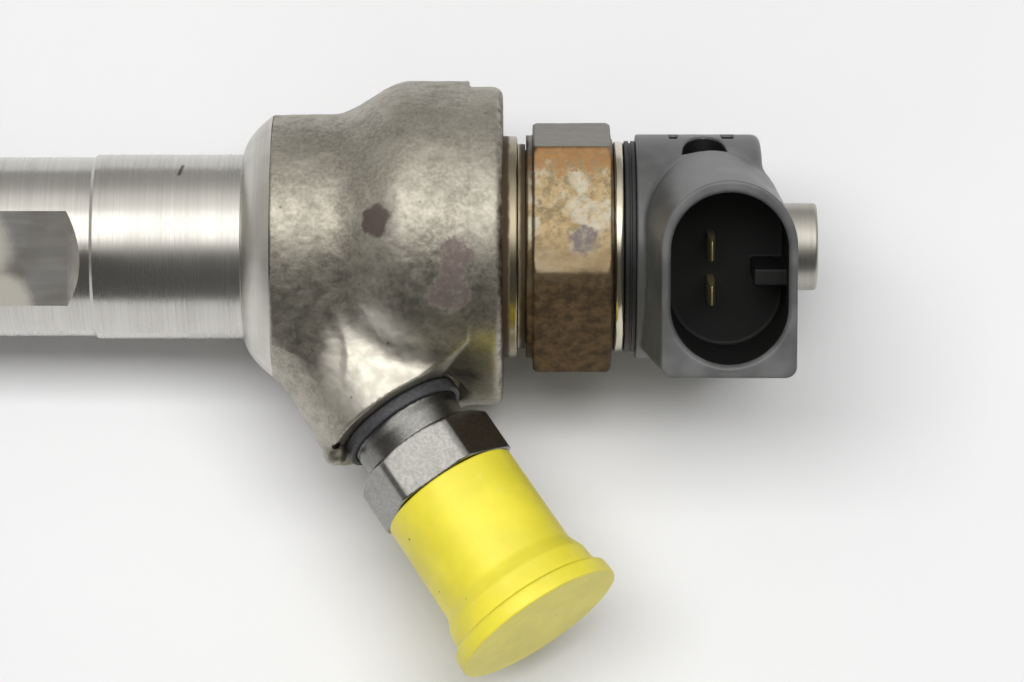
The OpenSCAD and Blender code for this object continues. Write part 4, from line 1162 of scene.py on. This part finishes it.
class INJECTOR_OT_solenoid(bpy.types.Operator):
    """Make the solenoid nut, the sleeve that it clamps, and the ring under the head"""
    bl_idname = "injector.solenoid"
    bl_label = "Solenoid nut and sleeve"

    def execute(self, context):
        s = sizes()
        low, high = X_HEX_NUT
        flat = 13.0
        corner = flat / math.cos(math.pi / 6)
        lip = SPIGOT_R - 0.7
        turn = math.radians(32.6 + 30)
        hex_from, hex_to = low + 0.75, high - 0.2

        def nut(p):
            x, r = p[:, 0], np.hypot(p[:, 1], p[:, 2])
            ends = np.minimum(x - hex_from, hex_to - x)
            cone = r - corner + np.clip(0.5 - ends, 0, 3) * 1.0
            # the azimuth runs from +Z towards -Y
            shape = soft_both(hexagon(p[:, 2], -p[:, 1], flat, turn), cone * 0.7, 0.1)
            shape = soft_both(shape, np.maximum(hex_from - x, x - hex_to), 0.2)
            face = rod_field(x, r, low, hex_from + 0.5, s["neck_radius"] + 0.1)
            top = rod_field(x, r, hex_to - 0.5, high, corner - 2.8)
            bore = np.minimum(r - lip, rod_field(x, r, low - 1, X_SPIGOT + 1.35, SPIGOT_R + 0.05))
            return soft_cut(np.minimum(np.minimum(shape, face), top), bore, 0.15)

        def dents(p):
            return 0.03 * lumps(p, 3.0, 21) + 0.012 * lumps(p, 0.8, 22)
        step = 0.24
        reach = corner + 0.6
        piece = skin("hexagon_nut", nut, (low - 0.5, -reach, -reach), (high + 0.5, reach, reach),
                     step, dents)
        stand_in(paint(piece, nut_finish()), "solenoid_nut")

        inner = CAVITY_R - 0.55
        ring_foot, ring_r = high + 0.05, SPIGOT_R + 1
        outline = [(X_MAGNET, inner), (X_MAGNET, CAVITY_R - 0.05, 0.1), (X_SPIGOT + 0.1, CAVITY_R - 0.05),
                   (X_SPIGOT + 0.1, SPIGOT_R, 0.1), (X_SPIGOT + 1.3, SPIGOT_R, 0.1),
                   (X_SPIGOT + 1.3, lip - 0.1), (ring_foot, lip - 0.1), (ring_foot, ring_r, 0.45),
                   (X_SLEEVE_TOP, ring_r, 0.6), (X_SLEEVE_TOP, STUB_R + 0.05),
                   (X_SLEEVE_TOP - 1.35, STUB_R + 0.05), (X_SLEEVE_TOP - 1.35, inner)]
        stand_in(paint(lathe("sleeve", outline, 160, None, 6), sleeve_finish()), "magnet_sleeve")

        start, end = span("head_seal_ring")
        outer = radius("head_seal_ring")
        groove = (start + end) / 2
        outline = [(start, SPIGOT_R - 0.8), (start, outer, 0.15), (groove - 0.15, outer, 0.05),
                   (groove - 0.1, outer - 0.25), (groove + 0.1, outer - 0.25), (groove + 0.15, outer, 0.05),
                   (end, outer, 0.15), (end, SPIGOT_R - 0.8)]
        stand_in(paint(lathe("head_ring", outline, 160), rubber_finish()), "head_seal_ring")
        return {"FINISHED"}


class INJECTOR_OT_stub(bpy.types.Operator):
    """Make the return stub with its bore"""
    bl_idname = "injector.stub"
    bl_label = "Return stub"

    def execute(self, context):
        foot, end = X_STUB
        shoulder, shank_r = end - 6.4, STUB_R - 0.3
        bore_r, mouth_r, mouth_foot = 2.4, 3.0, end - 12
        flange_r, flange_top = 5.5, foot + 1.7
        outline = [(foot, bore_r), (foot, flange_r, 0.1), (flange_top, flange_r, 0.1),
                   (flange_top, shank_r), (shoulder, shank_r), (shoulder, STUB_R), (end, STUB_R, 0.45),
                   (end, mouth_r, 0.3), (mouth_foot, mouth_r), (mouth_foot, bore_r)]
        stand_in(paint(lathe("return_stub", outline, 96, None, 5), stub_finish()), "drain_stub")
        return {"FINISHED"}


# ---- plastic head and terminals

def head_field(s):
    """The moulded head with its connector, drafted towards the mouth."""
    head_foot = X_SLEEVE_TOP + 1.3
    head_end = X_STUB[1] - 6.5
    half_w, half_h, corner, lift = 7.43, 10.95, 1.3, 0.4
    lip = s["plug_lip"]

    def field(p):
        q = into(CONNECTOR, p)
        x, up, out = q[:, 0], q[:, 1], q[:, 2]
        r = np.hypot(up, out)
        draft = np.clip((PLUG_MOUTH - out) / 20, 0, 1)
        mid = PLUG_X - 1.3 * draft
        w, h = half_w + 0.75 * draft, half_h + 0.6 * draft
        tower = rounded_box(x - mid, up - lift, w, h, np.where(up > 0, w, corner))
        tower = soft_both(tower, out - PLUG_MOUTH, lip)
        tower = np.maximum(tower, 5.0 - out)
        head = soft_both(r - HEAD_R, x - head_end, 1.2)
        head = soft_both(head, head_foot - x, 0.3)
        shape = soft_union(tower, head, 0.6)
        spigot = rod_field(x, r, X_SLEEVE_TOP + 0.02, head_foot + 1, SPIGOT_R - 0.85)
        shape = np.minimum(shape, spigot)
        shape = soft_cut(shape, np.minimum(hollow_field(x, up, out), pocket_field(x, up, out)), 0.12)
        return np.maximum(shape, STUB_R - 0.25 - r)
    return field


def hollow_field(x, up, out):
    """Inside of the connector, with its key and a chamfered lip."""
    half_w, half_h, lift = 6.45, 9.55, 0.42
    flare = np.clip((out - PLUG_MOUTH + 0.45) * 0.8, 0, 0.4)
    hollow = rounded_box(x - PLUG_X, up - lift, half_w + flare, half_h + flare, half_w + flare)
    hollow = soft_both(hollow, HEAD_R + 0.2 - out, 0.5)
    key = np.maximum(PLUG_X + half_w - 3.6 - x, np.abs(up) - 0.915)
    key = soft_both(key, out - PLUG_MOUTH + 4, 0.1)
    return soft_both(hollow, -key, 0.15)


def pocket_field(x, up, out):
    """Arched pocket beside the connector, with a notch on either side of it."""
    r = np.hypot(up, out)
    arc = (np.arctan2(up, out) - math.radians(73.5)) * HEAD_R
    dome = (np.hypot((x - PLUG_X + 2.1) / 2.55, (arc + 2.5) / 5.2) - 1) * 2.5
    pocket = np.maximum(np.maximum(dome, -2.5 - arc), 9.6 - r)
    left = np.maximum(np.abs(x - PLUG_X + 5.5) - 0.45, np.abs(arc - 3.3) - 1.4)
    right = np.maximum(np.abs(x - PLUG_X - 0.65) - 0.65, np.abs(arc - 3.3) - 1.4)
    return np.minimum(pocket, np.maximum(np.minimum(left, right), 12.2 - r))


class INJECTOR_OT_head(bpy.types.Operator):
    """Make the plastic head with its connector"""
    bl_idname = "injector.head"
    bl_label = "Plastic head"

    def execute(self, context):
        low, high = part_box("connector_housing")
        step = 0.19
        piece = skin("plastic_head", head_field(sizes()), [v / MM - 0.5 for v in low],
                     [v / MM + 0.5 for v in high], step)
        paint(piece, plastic_finish())
        piece.data.materials.append(cavity_shade_finish())
        centres = np.empty(len(piece.data.polygons) * 3, np.float32)
        piece.data.polygons.foreach_get("center", centres)
        x, up, out = into(CONNECTOR, centres.reshape(-1, 3) / MM).T
        # faces deep in the connector and in the pocket take the painted shade
        deep = (hollow_field(x, up, out) < 0.1) & (out < PLUG_MOUTH - 0.7)
        deep |= (pocket_field(x, up, out) < 0.1) & (np.hypot(up, out) < HEAD_R - 0.25)
        piece.data.polygons.foreach_set("material_index", deep.astype(np.int32))
        stand_in(piece, "connector_housing")
        return {"FINISHED"}


class INJECTOR_OT_terminals(bpy.types.Operator):
    """Make the two terminal blades with their leads"""
    bl_idname = "injector.terminals"
    bl_label = "Terminals"

    def execute(self, context):
        pitch, width, thick = 5.0, 2.8, 0.8
        foot, tip = 5.2, 19.5
        pin_x = PLUG_X - 1.7
        lead_r, lead_out = 0.4, 5.5
        coil_end = span("coil_bobbin")[1]
        parts = []
        for side in (-1, 1):
            mid = side * pitch / 2
            rings = [(foot, 1.0, 1.0), (tip - 2.4, 1.0, 1.0), (tip - 0.3, 0.86, 0.36), (tip, 0.76, 0.22)]
            points, faces = [], []
            for out, across, deep in rings:
                w, d = width / 2 * across, thick / 2 * deep
                for x, y in ((-d, -w), (d, -w), (d, w), (-d, w)):
                    points.append(tuple(CONNECTOR @ Vector((pin_x + x, mid + y, out))))
            for k in range(len(rings) - 1):
                faces += [(4 * k + i, 4 * k + (i + 1) % 4, 4 * k + 4 + (i + 1) % 4, 4 * k + 4 + i)
                          for i in range(4)]
            faces += [(3, 2, 1, 0), tuple(range(4 * len(rings) - 4, 4 * len(rings)))]
            blade = mesh_object("blade", np.array(points) * MM, faces)
            face_outwards(blade)
            edge = blade.modifiers.new("edge", "BEVEL")
            edge.width, edge.segments = 0.08 * MM, 2
            apply_modifiers(blade)
            lead_at = CONNECTOR @ Matrix.Translation((0, mid, lead_out))
            lead_at = lead_at @ Matrix.Rotation(math.pi / 2, 4, "Y")
            outline = [(coil_end, 0), (coil_end, lead_r), (pin_x, lead_r), (pin_x, 0)]
            parts += [paint(blade, bpy.data.materials.get("gold_plate") or gold_finish())]
            lead = lathe("lead", outline, 16, lead_at)
            parts += [paint(lead, bpy.data.materials["gold_plate"])]
        stand_in(join("terminal_blades", *parts), "terminal_pins")
        return {"FINISHED"}


# ---- pieces inside, which keep their CAD shape

class INJECTOR_OT_inner(bpy.types.Operator):
    """Give the pieces inside the injector their finishes"""
    bl_idname = "injector.inner"
    bl_label = "Inner pieces"

    def execute(self, context):
        by_slot = {
            "ground_steel": small_steel_finish(), "spring_steel": spring_finish(),
            "soft_iron": soft_iron_finish(), "black_oxide": blackened_finish(),
            "coil_wire": winding_finish(), "bobbin_plastic": bobbin_finish(),
            "rubber": bpy.data.materials["seal_rubber"], "ptfe": ptfe_finish(),
        }
        shown = {o for o in frame["nodes"].values() if not o.hide_render}
        for part in frame["record"]["subparts"]:
            piece = frame["nodes"][part["node"]]
            if piece in shown and part["material_slot"] in by_slot:
                paint(piece, by_slot[part["material_slot"]])
        return {"FINISHED"}


# ---- studio

# how bright the room is from the front horizon, -1, over the zenith, 0, to the back horizon, 1
BANDS = ((-1.0, 0.045), (-0.47, 0.04), (-0.30, 0.35), (-0.18, 0.95), (0.32, 0.95),
         (0.44, 0.50), (0.70, 0.42), (0.88, 0.22), (1.0, 0.17))
# the injector is shown from here to the end of its return stub, in metres
X_SHOWN_FROM = 0.0903


class INJECTOR_OT_stage(bpy.types.Operator):
    """Make the floor, the soft lights and the camera"""
    bl_idname = "injector.stage"
    bl_label = "Studio"

    def execute(self, context):
        low, high = CAD_BOX
        scene = context.scene
        reach = 4.0
        corners = [(x * reach, y * reach, low.z) for x, y in ((-1, -1), (1, -1), (1, 1), (-1, 1))]
        floor = mesh_object("studio_floor", corners, [(0, 1, 2, 3)])
        paint(floor, floor_finish())

        centre_x = (X_SHOWN_FROM + high.x) / 2
        self.soft_light("overhead", (centre_x, -0.06, 0.85), centre_x, 1.0, 0.30, 7.6)
        self.soft_light("front_fill", (centre_x, -0.60, 0.90), centre_x, 1.2, 0.8, 2.2)
        self.soft_light("sky", (centre_x, 0.30, 1.10), centre_x, 2.0, 1.6, 3.0)
        self.room(scene)

        distance, elevation, focal_length = 0.58, math.radians(70), 178.6
        aim = Vector((centre_x, -0.01013, -0.00369))
        back = Vector((0, -math.cos(elevation), math.sin(elevation)))
        data = bpy.data.cameras.new("camera")
        data.sensor_width, data.lens = 36.0, focal_length
        camera = bpy.data.objects.new("camera", data)
        camera.location = aim + back * distance
        camera.rotation_euler = back.to_track_quat("Z", "Y").to_euler()
        scene.collection.objects.link(camera)
        scene.camera = camera
        scene.view_settings.view_transform = "Standard"
        return {"FINISHED"}

    def soft_light(self, name, place, centre_x, width, depth, power):
        """A softbox that lights matt surfaces; polished ones mirror the room instead."""
        data = bpy.data.lights.new(name, "AREA")
        data.shape, data.size, data.size_y, data.energy = "RECTANGLE", width, depth, power
        light = bpy.data.objects.new(name, data)
        light.location = place
        light.rotation_euler = (Vector(place) - Vector((centre_x, 0, 0))).to_track_quat("Z", "Y").to_euler()
        light.visible_glossy = False
        bpy.context.scene.collection.objects.link(light)

    def room(self, scene):
        """What polished surfaces mirror: a bright ceiling, a dark front and a grey back."""
        world = bpy.data.worlds.new("room")
        scene.world = world
        world.use_nodes = True
        world.cycles_visibility.diffuse = False
        tree = world.node_tree
        shade = tree.nodes["Background"]

        def maths(operation, a, b=None):
            node = tree.nodes.new("ShaderNodeMath")
            node.operation = operation
            for socket, value in zip(node.inputs, (a, b)):
                if isinstance(value, bpy.types.NodeSocket):
                    tree.links.new(value, socket)
                elif value is not None:
                    socket.default_value = value
            return node.outputs[0]

        def mixed(share, a, b):
            node = tree.nodes.new("ShaderNodeMix")
            node.data_type = "RGBA"
            tree.links.new(share, node.inputs[0])
            for socket, value in ((node.inputs[6], a), (node.inputs[7], b)):
                if isinstance(value, bpy.types.NodeSocket):
                    tree.links.new(value, socket)
                else:
                    socket.default_value = (*value, 1)
            return node.outputs[2]

        parts = tree.nodes.new("ShaderNodeSeparateXYZ")
        tree.links.new(tree.nodes.new("ShaderNodeTexCoord").outputs["Generated"], parts.inputs[0])
        x, y, z = parts.outputs
        size = maths("SQRT", maths("ADD", maths("MULTIPLY", y, y), maths("MULTIPLY", z, z)))
        # -1 at the front horizon, 0 straight up, 1 at the back horizon
        lean = maths("DIVIDE", y, maths("MAXIMUM", size, 0.001))
        bands = tree.nodes.new("ShaderNodeValToRGB")
        tree.links.new(maths("MULTIPLY", maths("ADD", lean, 1.0), 0.5), bands.inputs[0])
        stops = bands.color_ramp.elements
        for at, value in BANDS[1:-1]:
            stops.new((at + 1) / 2)
        for stop, (at, value) in zip(stops, BANDS):
            stop.position = (at + 1) / 2
            stop.color = (value, value * 0.985, value * 0.955, 1)
        side = tree.nodes.new("ShaderNodeMapRange")
        side.interpolation_type = "SMOOTHSTEP"
        tree.links.new(maths("ABSOLUTE", x), side.inputs[0])
        side.inputs[1].default_value, side.inputs[2].default_value = 0.45, 0.85
        front = maths("MULTIPLY", y, -4.0)
        tree.nodes[-1].use_clamp = True
        walls = mixed(front, (0.235, 0.23, 0.22), (0.07, 0.068, 0.065))
        room = mixed(side.outputs[0], bands.outputs[0], walls)
        seen = tree.nodes.new("ShaderNodeLightPath").outputs["Is Camera Ray"]
        tree.links.new(mixed(seen, room, (0.36, 0.362, 0.365)), shade.inputs[0])
        shade.inputs[1].default_value = 2.3


class INJECTOR_PT_panel(bpy.types.Panel):
    """Lists the pieces of the injector"""
    bl_idname = "INJECTOR_PT_panel"
    bl_label = "Diesel injector"
    bl_space_type = "VIEW_3D"
    bl_region_type = "UI"
    bl_category = "Injector"

    def draw(self, context):
        for step in STEPS:
            self.layout.operator(step.bl_idname)
        for group in (context.scene.injector_sizes, context.scene.injector_colours):
            column = self.layout.column()
            for key in type(group).__annotations__:
                column.prop(group, key)


STEPS = (INJECTOR_OT_body, INJECTOR_OT_nozzle, INJECTOR_OT_inlet, INJECTOR_OT_cap, INJECTOR_OT_solenoid,
         INJECTOR_OT_stub, INJECTOR_OT_head, INJECTOR_OT_terminals, INJECTOR_OT_inner, INJECTOR_OT_stage)
CLASSES = (InjectorSizes, InjectorColours, *STEPS, INJECTOR_PT_panel)


def register():
    for made in CLASSES:
        bpy.utils.register_class(made)
    bpy.types.Scene.injector_sizes = PointerProperty(type=InjectorSizes)
    bpy.types.Scene.injector_colours = PointerProperty(type=InjectorColours)


def unregister():
    del bpy.types.Scene.injector_sizes
    del bpy.types.Scene.injector_colours
    for made in reversed(CLASSES):
        bpy.utils.unregister_class(made)


def main():
    register()
    for step in STEPS:
        group, name = step.bl_idname.split(".")
        getattr(getattr(bpy.ops, group), name)()


if __name__ == "__main__":
    main()
